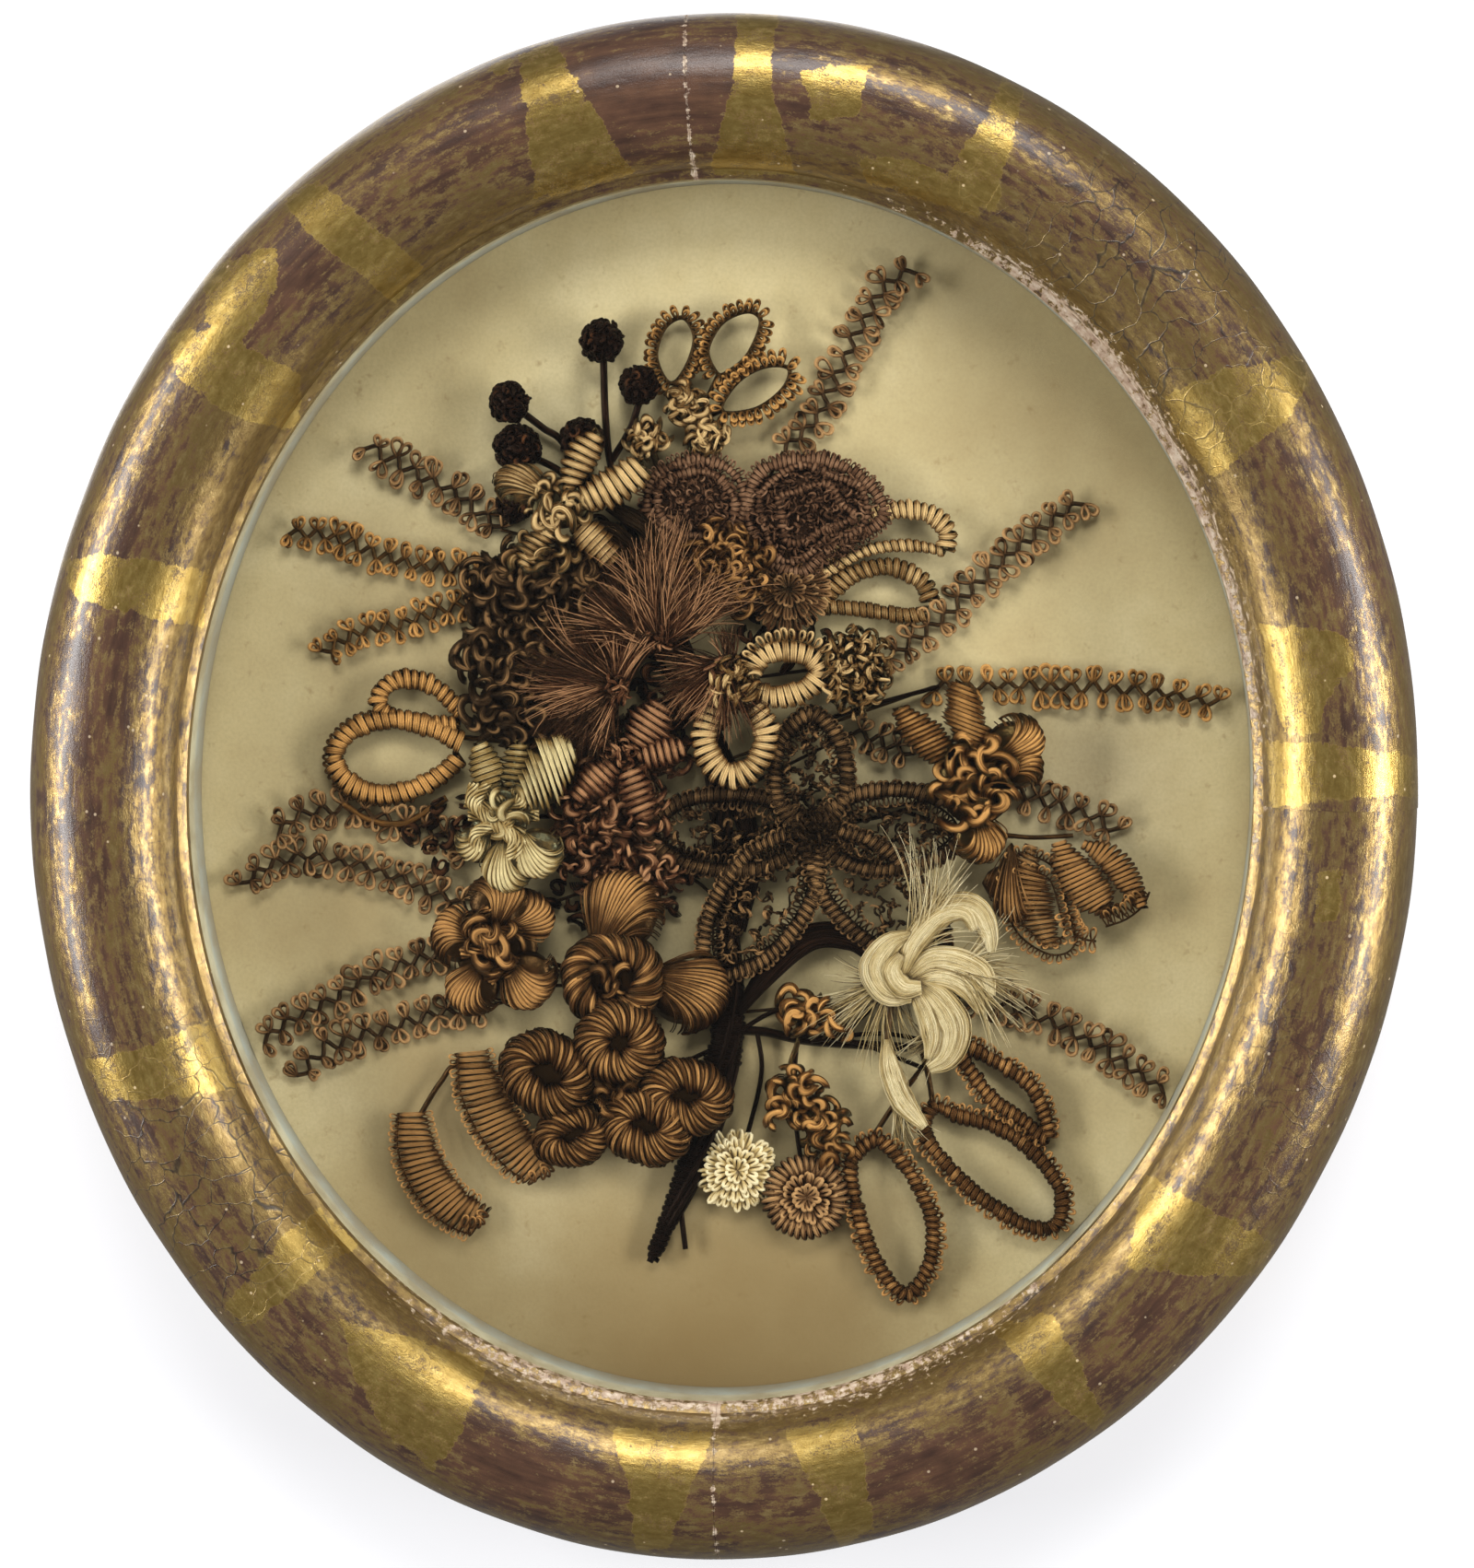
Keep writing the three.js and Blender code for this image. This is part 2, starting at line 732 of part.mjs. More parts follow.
function loopSprayLow() {
  return join([
    gimpRing([[1035, 1138], [1075, 1150], [1118, 1176], [1136, 1225], [1108, 1208], [1060, 1172]], 1, 10),
    gimpRing([
      [1013, 1206], [1071, 1224], [1126, 1260], [1152, 1312], [1140, 1332], [1083, 1310], [1022, 1255],
    ], 1, 14),
    gimpRing([
      [938, 1238], [976, 1262], [1003, 1310], [1004, 1367], [984, 1402], [950, 1355], [930, 1300],
    ], 1, 14),
    strip([[987, 1137], [1010, 1142], [1042, 1142]], 1),
    strip([[1000, 1139], [1008, 1170], [1016, 1208]], 1),
    strip([[1004, 1155], [970, 1200], [942, 1242]], 1),
  ]);
}

// Flat leaves whose loops are caught between two wires
function gimpLeaves() {
  return join([
    gimpRing([[478, 1160], [520, 1175], [572, 1250], [590, 1282], [545, 1272], [495, 1215]], 1, 10),
    gimpRing([[440, 1215], [470, 1228], [520, 1300], [522, 1326], [480, 1308], [448, 1260]], 1, 10),
    strip([[667, 1201], [560, 1180], [500, 1167], [478, 1180], [458, 1222]], 1),
  ]);
}

function rightLeaves() {
  const dark_px = [[1095, 908], [1150, 940], [1160, 1000], [1130, 1030], [1085, 1010], [1078, 950]];
  const pale_px = [[1158, 908], [1200, 912], [1245, 985], [1225, 1005], [1185, 1000], [1160, 950]];
  return join([
    gimpRing(dark_px, 2, 12),
    gimpRing(pale_px, 2, 10),
    strip([[1086, 1000], [1100, 912]], 2),
    strip([[1088, 910], [1165, 907]], 2),
    stalk([1098, 908], 2),
  ]);
}

function buttonSpray() {
  return join([
    ball([745, 440], 23, 2),
    ball([768, 475], 21, 2),
    ball([702, 475], 23, 2),
    strip([[702, 479], [768, 479]], 2),
    strip([[745, 440], [768, 475]], 2),
    stalk([748, 480], 2),
  ]);
}

function budSpray() {
  return join([
    ball([868, 1096], 24, 2),
    ball([900, 1106], 20, 2),
    ball([872, 1188], 24, 2),
    ball([895, 1232], 24, 2),
    strip([[868, 1096], [902, 1108]], 2),
    strip([[868, 1096], [866, 1130], [856, 1155], [872, 1190]], 2),
    strip([[872, 1190], [895, 1232]], 2),
    stalk([866, 1129], 2),
  ]);
}

const blooms = {
  blond_flower: () => flower({
    centre_px: [605, 545],
    core_px: 26,
    tips_px: [[648, 468], [700, 528], [548, 520], [565, 620], [665, 618]],
    width_px: 38,
    layer: 4,
    foot_px: [616, 566],
  }),
  purple_leaf_left: () => flower({
    centre_px: [752, 552],
    core_px: 30,
    tips_px: [[712, 520], [805, 590], [798, 520]],
    width_px: 44,
    layer: 2,
    foot_px: [735, 545],
  }),
  purple_leaf_right: () => flower({
    centre_px: [850, 590],
    core_px: 26,
    tips_px: [[822, 508], [890, 512], [952, 556]],
    width_px: 46,
    layer: 2,
    foot_px: [848, 598],
  }),
  dark_rosette: () => curls({ places_px: [[852, 652]], radius_px: 32, layer: 2, foot_px: [856, 649] }),
  curl_dome: () => curls({ places_px: [[790, 622]], radius_px: 44, layer: 3, foot_px: [792, 625] }),
  hair_tuft: () => flower({
    centre_px: [714, 682],
    core_px: 24,
    tips_px: [[688, 598], [722, 588], [760, 612], [642, 650], [622, 692], [655, 758], [776, 728]],
    width_px: 18,
    layer: 4,
    foot_px: [731, 681],
    carrier_radius: trunk_radius,
  }),
  loop_petal_flower: () => loopFlower({
    centre_px: [790, 735],
    core_px: 28,
    tips_px: [[797, 838], [905, 728], [735, 742]],
    width_px: 44,
    layer: 3,
    reach_px: 16,
    veined: false,
  }),
  dark_curl_cluster: () => curls({
    places_px: [
      [542, 642], [598, 625], [650, 642], [560, 698], [618, 690], [540, 748], [598, 752], [652, 735],
    ],
    radius_px: 34,
    layer: 2,
    foot_px: [597, 700],
  }),
  cream_knot_flower: () => flower({
    centre_px: [545, 885],
    core_px: 24,
    tips_px: [[528, 822], [575, 818], [612, 842], [602, 915], [560, 960]],
    width_px: 34,
    layer: 3,
  }),
  maroon_curls: () => curls({
    places_px: [[640, 850], [650, 893], [634, 932]],
    radius_px: 30,
    layer: 2,
    foot_px: [650, 893],
  }),
  brown_flower: () => flower({
    centre_px: [531, 1026],
    core_px: 26,
    tips_px: [[527, 955], [588, 985], [470, 1029], [592, 1082], [522, 1112]],
    width_px: 44,
    layer: 2,
  }),
  fan_flower: () => flower({
    centre_px: [654, 1062],
    core_px: 34,
    tips_px: [[682, 968], [742, 1088]],
    width_px: 56,
    layer: 2,
  }),
  ring_flower: () => loopFlower({
    centre_px: [670, 1200],
    core_px: 22,
    tips_px: [[652, 1092], [562, 1155], [788, 1185], [590, 1248], [712, 1250]],
    width_px: 44,
    layer: 3,
    reach_px: 16,
    veined: false,
  }),
  lace_flower: () => loopFlower({
    centre_px: [880, 905],
    core_px: 22,
    tips_px: [[880, 778], [722, 905], [1042, 898], [795, 1032], [1010, 1022]],
    width_px: 66,
    layer: 2,
    reach_px: 12,
    veined: true,
  }),
  curly_flower_right: () => flower({
    centre_px: [1062, 843],
    core_px: 34,
    tips_px: [[988, 775], [1050, 758], [1118, 798], [1090, 912]],
    width_px: 44,
    layer: 3,
  }),
  white_tuft: () => flower({
    centre_px: [983, 1037],
    core_px: 26,
    tips_px: [[1062, 958], [1066, 1078], [1030, 1132], [985, 1150], [922, 1098], [942, 1040]],
    width_px: 26,
    layer: 3,
    foot_px: [973, 1057],
  }),
  cream_daisy: () => curls({ places_px: [[803, 1270]], radius_px: 32, layer: 2, foot_px: [804, 1260] }),
  grey_daisy: () => curls({ places_px: [[875, 1302]], radius_px: 35, layer: 2, foot_px: [874, 1292] }),
};

// Finish of each kind of piece: colour, roughness and metalness
const finishes = {
  gilt: [0x6b5330, 0.42, 0.55],
  pine: [0x8a6a45, 0.8, 0],
  card: [0xb9aa86, 0.95, 0],
  paper: [0xbfae84, 0.95, 0],
  liner: [0xa9aaa0, 0.9, 0],
  glass: [0xdde4e2, 0.05, 0],
  iron: [0x4a4038, 0.6, 0.8],
  brass: [0xa98a4a, 0.4, 0.9],
  black_wire: [0x17110e, 0.8, 0],
  brown_hair: [0x5c3a20, 0.5, 0],
  dark_hair: [0x2c1a10, 0.5, 0],
  blond_hair: [0xa6834f, 0.45, 0],
  cream_hair: [0xd8c49a, 0.45, 0],
  mauve_hair: [0x56352c, 0.5, 0],
};

const materials = Object.fromEntries(Object.entries(finishes).map(([name, [color, roughness, metalness]]) => {
  const material = new THREE.MeshStandardMaterial({ color, roughness, metalness });
  if (name === 'glass') {
    material.transparent = true;
    material.opacity = 0.3;
  }
  return [name, material];
}));

const bouquet = new THREE.Group();

function place(name, geometry, finish) {
  const mesh = new THREE.Mesh(geometry, materials[finish]);
  mesh.name = name;
  bouquet.add(mesh);
}

const segment_names = ['frame_upper_right', 'frame_upper_left', 'frame_lower_left', 'frame_lower_right'];
const holes = frameHoles();
segment_names.forEach((name, i) => {
  const last = i + 1 < seam_turns_deg.length ? seam_turns_deg[i + 1] : seam_turns_deg[0] + 360;
  place(name, cut(frameSegment(seam_turns_deg[i], last), holes), 'gilt');
});

place('glass_pane', slab(ovalOutline(panel_inset), [], glass_back, glass_front), 'glass');
place('well_liner', slab(
  ovalOutline(panel_inset),
  [ovalOutline(moulding_width - liner_setback)],
  relief_low,
  liner_front,
), 'liner');
place('ground_paper', slab(ovalOutline(panel_inset), [], paper_back, paper_front), 'paper');
place('mount_board', slab(ovalOutline(panel_inset), [], frame_back, mount_front), 'card');
place('backboard', backboard(), 'pine');
nail_turns_deg.forEach((turn, i) => place(`backboard_nail_${i + 1}`, nail(turn), 'iron'));
['right', 'left'].forEach((side, i) => {
  place(`screw_eye_${side}`, screwEye(eye_turns_deg[i]), 'brass');
  place(`hanging_ring_${side}`, hangingRing(eye_turns_deg[i]), 'brass');
});

const black_sprigs = ['sprig_right_4'];
place('main_stem', mainStem(), 'black_wire');
Object.entries(sprigs_px).forEach(([name, data]) => {
  place(name, sprig(data), black_sprigs.includes(name) ? 'dark_hair' : 'brown_hair');
});
place('berry_spray_top', berrySprayTop(), 'dark_hair');
place('berry_spray_left', berrySprayLeft(), 'dark_hair');
place('loop_spray_top', loopSprayTop(), 'brown_hair');
place('loop_pair_left', loopPairLeft(), 'brown_hair');
place('loop_pair_right', loopPairRight(), 'blond_hair');
place('loop_spray_low', loopSprayLow(), 'brown_hair');
place('gimp_leaves', gimpLeaves(), 'brown_hair');
place('right_leaves', rightLeaves(), 'brown_hair');
place('button_spray', buttonSpray(), 'blond_hair');
place('bud_spray', budSpray(), 'brown_hair');

const bloom_finishes = {
  blond_flower: 'blond_hair',
  purple_leaf_left: 'mauve_hair',
  purple_leaf_right: 'mauve_hair',
  dark_rosette: 'dark_hair',
  curl_dome: 'brown_hair',
  hair_tuft: 'mauve_hair',
  loop_petal_flower: 'blond_hair',
  dark_curl_cluster: 'dark_hair',
  cream_knot_flower: 'cream_hair',
  maroon_curls: 'mauve_hair',
  brown_flower: 'brown_hair',
  fan_flower: 'brown_hair',
  ring_flower: 'brown_hair',
  lace_flower: 'dark_hair',
  curly_flower_right: 'brown_hair',
  white_tuft: 'cream_hair',
  cream_daisy: 'cream_hair',
  grey_daisy: 'mauve_hair',
};
Object.entries(bloom_finishes).forEach(([name, finish]) => place(name, blooms[name](), finish));

export default bouquet;
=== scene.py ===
"""Looks of a framed bouquet of hairwork. Metres, +Z up, the glass faces -Y, the wall lies on y = 0."""
import math

import bpy
import numpy as np
from mathutils import Matrix, Vector


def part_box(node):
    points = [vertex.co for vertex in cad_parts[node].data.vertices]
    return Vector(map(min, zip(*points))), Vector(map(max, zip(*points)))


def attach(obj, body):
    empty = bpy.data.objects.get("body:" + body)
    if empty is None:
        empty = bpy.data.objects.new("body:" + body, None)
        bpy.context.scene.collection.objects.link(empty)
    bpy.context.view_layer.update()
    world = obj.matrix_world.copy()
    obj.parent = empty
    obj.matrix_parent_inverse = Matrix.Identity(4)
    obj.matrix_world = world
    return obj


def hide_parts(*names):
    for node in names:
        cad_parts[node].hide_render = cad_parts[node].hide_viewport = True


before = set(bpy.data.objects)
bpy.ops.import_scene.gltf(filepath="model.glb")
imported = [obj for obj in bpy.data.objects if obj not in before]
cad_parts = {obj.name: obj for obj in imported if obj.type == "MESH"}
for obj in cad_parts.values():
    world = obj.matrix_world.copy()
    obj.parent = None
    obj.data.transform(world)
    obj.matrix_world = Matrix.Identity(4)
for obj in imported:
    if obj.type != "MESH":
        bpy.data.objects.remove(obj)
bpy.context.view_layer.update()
rng = np.random.default_rng(11)

# Camera, from the photograph's viewpoint
PHOTO = (1600, 1702)
FOCAL_PX = 3464
AIM = Vector((0.0066, -0.031, 0.005))
DISTANCE = 0.940
SENSOR_MM = 36
NEAREST = 0.05
TURN, RISE, ROLL = (math.radians(d) for d in (4, 4.5, 3.08))
away = Vector((math.sin(TURN) * math.cos(RISE), -math.cos(TURN) * math.cos(RISE), math.sin(RISE)))
eye = AIM + away * DISTANCE
level = (-away).cross(Vector((0, 0, 1))).normalized()
right = level * math.cos(ROLL) + level.cross(-away) * math.sin(ROLL)
up = away.cross(right)
camera = bpy.data.objects.new("camera", bpy.data.cameras.new("camera"))
camera.matrix_world = Matrix.Translation(eye) @ Matrix((right, up, away)).transposed().to_4x4()
camera.data.sensor_width = SENSOR_MM
camera.data.lens = FOCAL_PX / PHOTO[1] * SENSOR_MM
camera.data.clip_start = NEAREST
bpy.context.scene.collection.objects.link(camera)
bpy.context.scene.camera = camera
bpy.context.scene.view_settings.view_transform = "Standard"

# Planes of the case, in metres from the wall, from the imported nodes
PAPER = -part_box("ground_paper")[0].y
CREST = max(-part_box(n)[0].y for n in ("frame_upper_left", "frame_lower_right"))
FRAME_BACK = -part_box("frame_upper_left")[1].y
# Half of the frame's width and height, and one pixel of the photograph at the bouquet
HALF_W = 0.205
HALF_H = 0.2285
PX = DISTANCE / FOCAL_PX

# Heights that hair may have over the paper, in pixels, and the size of the cells that tell what lies under
# it, for the painted shade under higher hair
LOWEST, HIGHEST = 0.8, 60
CELL = 3
# Spread of the hairs over the noise of their material
UV_LENGTH, UV_ROWS = 900, 50
GOLDEN_ANGLE = 2.39996
# Points in one turn of a winding
COIL = 12


def place(points):
    """From pixels of the photograph, and pixels of height over the paper, to metres."""
    p = np.asarray(points, float)
    depth = PAPER + p[..., 2] * PX
    ray = (-np.array(away)
           + np.array(right) * ((p[..., 0:1] - PHOTO[0] / 2) / FOCAL_PX)
           + np.array(up) * ((PHOTO[1] / 2 - p[..., 1:2]) / FOCAL_PX))
    reach = (-depth - eye.y) / ray[..., 1]
    return np.array(eye) + ray * reach[..., None]


def unit(v):
    """Vectors brought to length one."""
    return v / np.maximum(np.linalg.norm(v, axis=-1, keepdims=True), 1e-9)


def strides(line):
    """Distances from each point of a line to the next."""
    return np.linalg.norm(np.diff(line, axis=0), axis=1)


def travelled(line):
    """Distance along a line at each of its points."""
    return np.concatenate([[0], np.cumsum(strides(line))])


def sleeve(rows, sides, closed=False):
    """Quads between rings of points that follow one another."""
    i, j = np.arange(rows if closed else rows - 1)[:, None] * sides, np.arange(sides)
    k, l = (i + sides) % (rows * sides), (j + 1) % sides
    return np.stack([i + j, i + l, k + l, k + j], -1).reshape(-1, 4)


def smooth(route, closed=False, step=2.0):
    """Points at an even pitch along a smooth curve through a route of (px, py, height)."""
    p = np.asarray(route, float)
    if closed:
        q = np.vstack([p[-1], p, p[0], p[1]])
    else:
        q = np.vstack([2 * p[0] - p[1], p, 2 * p[-1] - p[-2]])
    t = np.linspace(0, 1, 24, endpoint=False)[:, None]
    runs = []
    for a, b, c, d in zip(q, q[1:], q[2:], q[3:]):
        runs.append(0.5 * (2 * b + (c - a) * t + (2 * a - 5 * b + 4 * c - d) * t ** 2
                           + (3 * b - a - 3 * c + d) * t ** 3))
    line = np.vstack(runs + [p[:1] if closed else p[-1:]])
    length = travelled(line)
    at = np.linspace(0, length[-1], max(3, int(length[-1] / step) + 1))
    return np.stack([np.interp(at, length, line[:, k]) for k in range(3)], 1)


def flat(route, height):
    """A route of pixels at one height, or from one height to another."""
    route = np.asarray(route, float)
    if route.shape[1] == 3:
        return route
    heights = np.linspace(*height, len(route)) if isinstance(height, tuple) else np.full(len(route), height)
    return np.column_stack([route, heights])


# Faces that close the end of a tube with so many sides
QUADS = {4: [(0, 1, 2, 3)], 6: [(0, 1, 2, 3), (0, 3, 4, 5)], 8: [(0, 1, 2, 3), (0, 3, 4, 7), (4, 5, 6, 7)]}


class Hair:
    """Strands gathered into one mesh, with a tint at each point that holds their tone together with painted
    sheen and shade, and UVs that run along the hair.
    """

    def __init__(self):
        self.points, self.faces, self.uvs, self.tints, self.count = [], [], [], [], 0

    def strands(self, paths, radius, tint=0.5, sides=4, ref=(0.21, 0.13, 0.97), flatness=1.0):
        """Tubes along paths of equally many points, with a radius and a tint for each or for all."""
        paths = np.asarray(paths, float)
        if paths.ndim == 2:
            paths = paths[None]
        k, n = paths.shape[:2]
        tangent = unit(np.gradient(paths, axis=1))
        across = unit(np.cross(tangent, np.broadcast_to(ref, paths.shape)))
        over = np.cross(tangent, across)
        turn = 2 * np.pi * np.arange(sides) / sides
        r = np.broadcast_to(radius, (k, n))[..., None, None]
        ring = paths[:, :, None, :] + r * (across[:, :, None, :] * np.cos(turn)[:, None]
                                          + over[:, :, None, :] * np.sin(turn)[:, None] * flatness)
        base = self.count + (np.arange(k) * n * sides)[:, None, None]
        quads = base + sleeve(n, sides)[:, [0, 3, 2, 1]]
        length = np.concatenate([np.zeros((k, 1)),
                                 np.cumsum(np.linalg.norm(np.diff(paths, axis=1), axis=2), 1)], 1)
        u = (length + rng.random((k, 1)) * UV_LENGTH)[:, :, None]
        v = (np.arange(sides + 1) / sides)[None, None, :] + rng.integers(0, UV_ROWS, (k, 1, 1))
        u = np.broadcast_to(u, (k, n, sides + 1))
        v = np.broadcast_to(v, (k, n, sides + 1))
        corner = lambda a: np.stack([a[:, :-1, :-1], a[:, 1:, :-1], a[:, 1:, 1:], a[:, :-1, 1:]], -1)
        uv = np.stack([corner(u), corner(v)], -1)
        self.faces.append(quads.reshape(-1, 4))
        self.uvs.append(uv.reshape(-1, 4, 2))
        for end, order in ((0, 1), (n - 1, -1)):
            for quad in QUADS[sides]:
                cap = base[:, 0] + end * sides + np.array(quad[::order])
                self.faces.append(cap.reshape(-1, 4))
                self.uvs.append(np.zeros((len(cap.reshape(-1, 4)), 4, 2)))
        self.points.append(ring.reshape(-1, 3))
        self.tints.append(np.repeat(np.broadcast_to(tint, (k, n)).reshape(-1), sides))
        self.count += k * n * sides

    def piece(self, material, node, name=None):
        """Makes the mesh that takes the place of a node, with painted shade: darker where hair lies over it.
        """
        points = np.vstack(self.points)
        points[:, 2] = np.clip(points[:, 2], LOWEST, HIGHEST)
        obj = mesh_piece(name or "hair_" + node, place(points), np.vstack(self.faces), material,
                         np.vstack(self.uvs))
        # Painted shade: each point is darkened by how far higher hair lies over it in its cell and the cells
        # around
        cell = ((points[:, :2] - points[:, :2].min(0)) / CELL).astype(int) + 1
        roof = np.zeros(cell.max(0) + 2)
        np.maximum.at(roof, (cell[:, 0], cell[:, 1]), points[:, 2])
        roof = np.max([np.roll(roof, (i, j), (0, 1)) for i in (-1, 0, 1) for j in (-1, 0, 1)], axis=0)
        under = np.clip((roof[cell[:, 0], cell[:, 1]] - points[:, 2] - 2) / 9, 0, 1)
        shade = np.concatenate(self.tints) * (1 - 0.75 * under) - 0.12 * under
        tint = obj.data.attributes.new("tint", "FLOAT", "POINT")
        tint.data.foreach_set("value", np.clip(shade, 0, 1).astype(np.float32))
        dress(obj, "frame", node)


def dress(obj, body, node):
    """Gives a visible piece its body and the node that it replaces."""
    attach(obj, body)
    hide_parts(node)


def mesh_piece(name, points, quads, material, uvs=None):
    """A smooth mesh of quads, with UVs for each corner."""
    mesh = bpy.data.meshes.new(name)
    mesh.vertices.add(len(points))
    mesh.vertices.foreach_set("co", np.asarray(points, np.float32).ravel())
    mesh.loops.add(quads.size)
    mesh.loops.foreach_set("vertex_index", quads.astype(np.int32).ravel())
    mesh.polygons.add(len(quads))
    mesh.polygons.foreach_set("loop_start", np.arange(0, quads.size, 4, dtype=np.int32))
    mesh.update(calc_edges=True)
    mesh.polygons.foreach_set("use_smooth", np.ones(len(quads), bool))
    if uvs is not None:
        layer = mesh.uv_layers.new(name="UVMap")
        layer.data.foreach_set("uv", uvs.astype(np.float32).ravel())
    mesh.materials.append(material)
    obj = bpy.data.objects.new(name, mesh)
    bpy.context.scene.collection.objects.link(obj)
    return obj


# Shapes that the hairwork is made of, in pixels

def side_of(line, closed):
    """Tangents, and sideways directions in the picture's plane that point out of a closed line."""
    tangent = unit(np.gradient(line, axis=0))
    if closed:
        tangent[0] = tangent[-1] = unit(line[1] - line[-2])
    side = unit(np.column_stack([tangent[:, 1], -tangent[:, 0], np.zeros(len(line))]))
    if closed:
        x, y = line[:, 0], line[:, 1]
        area = np.sum(x[:-1] * y[1:] - x[1:] * y[:-1])
        side *= 1 if area > 0 else -1
    return tangent, side


def along(line, values):
    """Values given at even steps, spread over the points of a line."""
    values = np.atleast_1d(np.asarray(values, float))
    return np.interp(np.linspace(0, 1, len(line)), np.linspace(0, 1, len(values)), values)


def winding(h, route, height, half, lift, pitch, radius=None, closed=False, tint=(0.35, 0.75), lean=0.0,
            core=0.0, jitter=0.1, hairs=3, inner=0.0):
    """Hair wound round a wire: a flattened coil along a route, half px wide each side and lift px high."""
    line = smooth(flat(route, height), closed, 1.2)
    tangent, side = side_of(line, closed)
    total = strides(line).sum()
    turns = max(3, round(total / pitch))
    n = turns * COIL + 1
    share = np.linspace(0, 1, n)
    spot = share * (len(line) - 1)
    low = np.minimum(spot.astype(int), len(line) - 2)
    mix = (spot - low)[:, None]
    pick = lambda a: a[low] * (1 - mix) + a[low + 1] * mix
    centre, out, run = pick(line), unit(pick(side)), unit(pick(tangent))
    wide, high = (np.interp(share, np.linspace(0, 1, len(v)), v) for v in map(np.atleast_1d, (half, lift)))
    turn = 2 * np.pi * turns * share
    each = lambda amount: np.repeat(rng.normal(0, amount, turns + 1), COIL)[:n]
    wide = wide * (1 + each(jitter))
    # Painted highlight: each turn is lightest at its crest; painted shade: darker on the coil's inner side by
    # inner
    tone = tint[0] + (tint[1] - tint[0]) * (0.5 + 0.5 * np.sin(turn)) ** 3 + each(0.1)
    tone = tone - inner * (0.5 - 0.5 * np.cos(turn))
    for k in range(hairs):
        aside = (k - (hairs - 1) / 2) / hairs
        full = 1 - 0.5 * aside ** 2 + rng.normal(0, 0.03)
        path = centre + run * (aside * pitch * 0.74 + lean * wide * np.cos(turn))[:, None]
        path = path + out * (full * wide * np.cos(turn))[:, None]
        path[:, 2] += full * high * np.sin(turn)
        r = np.minimum(radius or pitch * 0.52 / hairs, np.maximum(0.5, wide * 0.6))
        # Painted shade in the grooves between ribs: the outer hairs of each group are darker
        h.strands(path, r, tone + rng.normal(0, 0.07) - 0.9 * aside ** 2, 4, ref=run)
    # The core is the wire, thick and dark, so that painted shade shows between the turns
    if core is not None:
        h.strands(line, np.maximum(0.5, along(line, lift) * 0.75), core, 6, ref=(0, 0, 1))


def loops(h, route, height, reach, pitch, radius, closed=False, sides=(1,), tint=(0.2, 0.8), wire=1.8,
          width=0.46, rise=0.25, wire_tint=0.05):
    """A wire with open loops of hair standing out of it."""
    line = smooth(flat(route, height), closed, 1.5)
    tangent, side = side_of(line, closed)
    total = strides(line).sum()
    count = max(2, round(total / pitch))
    for s in sides:
        spot = ((np.arange(count) + 0.5) / count * (len(line) - 1)).astype(int)
        centre, out, run = line[spot], side[spot] * s, tangent[spot]
        turn = np.linspace(0, 2 * np.pi, 15)
        far = reach * (1 + rng.normal(0, 0.08, count))[:, None] * (1 - np.cos(turn)) / 2
        wide = pitch * width * np.sin(turn) * (0.45 + 0.55 * np.sin(turn / 2) ** 2)
        skew = rng.normal(0, 0.12, count)[:, None]
        path = (centre[:, None] + out[:, None] * far[..., None]
                + run[:, None] * (wide + far * skew)[..., None])
        path[..., 2] += far * rng.normal(rise, 0.12, count)[:, None] + 1.2 * np.sin(turn)
        # Painted light and shade: each loop darkens towards the wire and lightens towards its tip, and the
        # upper strand of each pair is lighter
        tone = tint[0] + (tint[1] - tint[0]) * (1 - np.cos(turn)) / 2 + rng.normal(0, 0.06, count)[:, None]
        for k in (-1, 1):
            beside = path + out[:, None] * (k * radius * 0.42 * np.sin(turn / 2))[:, None]
            beside[..., 2] += k * radius * 0.5
            h.strands(beside, radius * 0.62, tone + 0.08 * k, 4)
    if wire:
        h.strands(line, wire, wire_tint, 6, ref=(0, 0, 1))


def sprig(h, route, height, stalks, pitch, reach, width, tint=(0.0, 0.8)):
    """A zigzag wire with a pair of small teardrop loops at each bend."""
    line = smooth(flat(route, height), False, 1.0)
    tangent, side = side_of(line, False)
    total = len(line)
    count = max(3, round(total / pitch))
    spot = np.minimum((np.arange(count + 1) / count * (total - 1)).astype(int), total - 1)
    sign = np.where(np.arange(count + 1) % 2, 1.0, -1.0)
    bends = line[spot] + side[spot] * (sign * rng.normal(4.6, 1.1, count + 1))[:, None]
    bends[:, 2] += rng.normal(0, 1.2, count + 1)
    h.strands(smooth(bends, False, 2.0), 2.5, 0.08, 6, ref=(0, 0, 1))
    turn = np.linspace(0, 2 * np.pi, 15)
    out = side[spot] * sign[:, None]
    for lean in (-0.3, 0.42):
        size = ((1 + rng.normal(0, 0.13, count + 1))
                * np.interp(np.arange(count + 1), [0, count * 0.8, count], [1, 1, 0.8]))
        far = (reach * size)[:, None] * (1 - np.cos(turn)) / 2
        wide = (width * size)[:, None] * np.sin(turn) * (0.3 + 0.8 * np.sin(turn / 2) ** 2)
        aim = unit(out + tangent[spot] * rng.normal(lean, 0.2, count + 1)[:, None])
        cross = unit(np.column_stack([-aim[:, 1], aim[:, 0], rng.normal(0, 0.5, count + 1)]))
        path = bends[:, None] + aim[:, None] * far[..., None] + cross[:, None] * wide[..., None]
        path[..., 2] += far * rng.normal(0.12, 0.16, count + 1)[:, None]
        # Painted light and shade: each loop darkens towards its bend and lightens towards its tip, and the
        # upper strand is lighter
        tone = (tint[0] + (tint[1] - tint[0]) * np.sin(turn / 2) ** 0.7
                + rng.normal(0, 0.12, count + 1)[:, None])
        for k in (-1, 0, 1):
            beside = path + aim[:, None] * (k * 1.2 * np.sin(turn / 2))[:, None]
            beside[..., 2] += k * 1.3
            h.strands(beside, 1.75, tone + 0.12 * k, 4)
    for route_px in stalks:
        h.strands(smooth(flat(route_px, height)), 1.9, 0.03, 6, ref=(0, 0, 1))


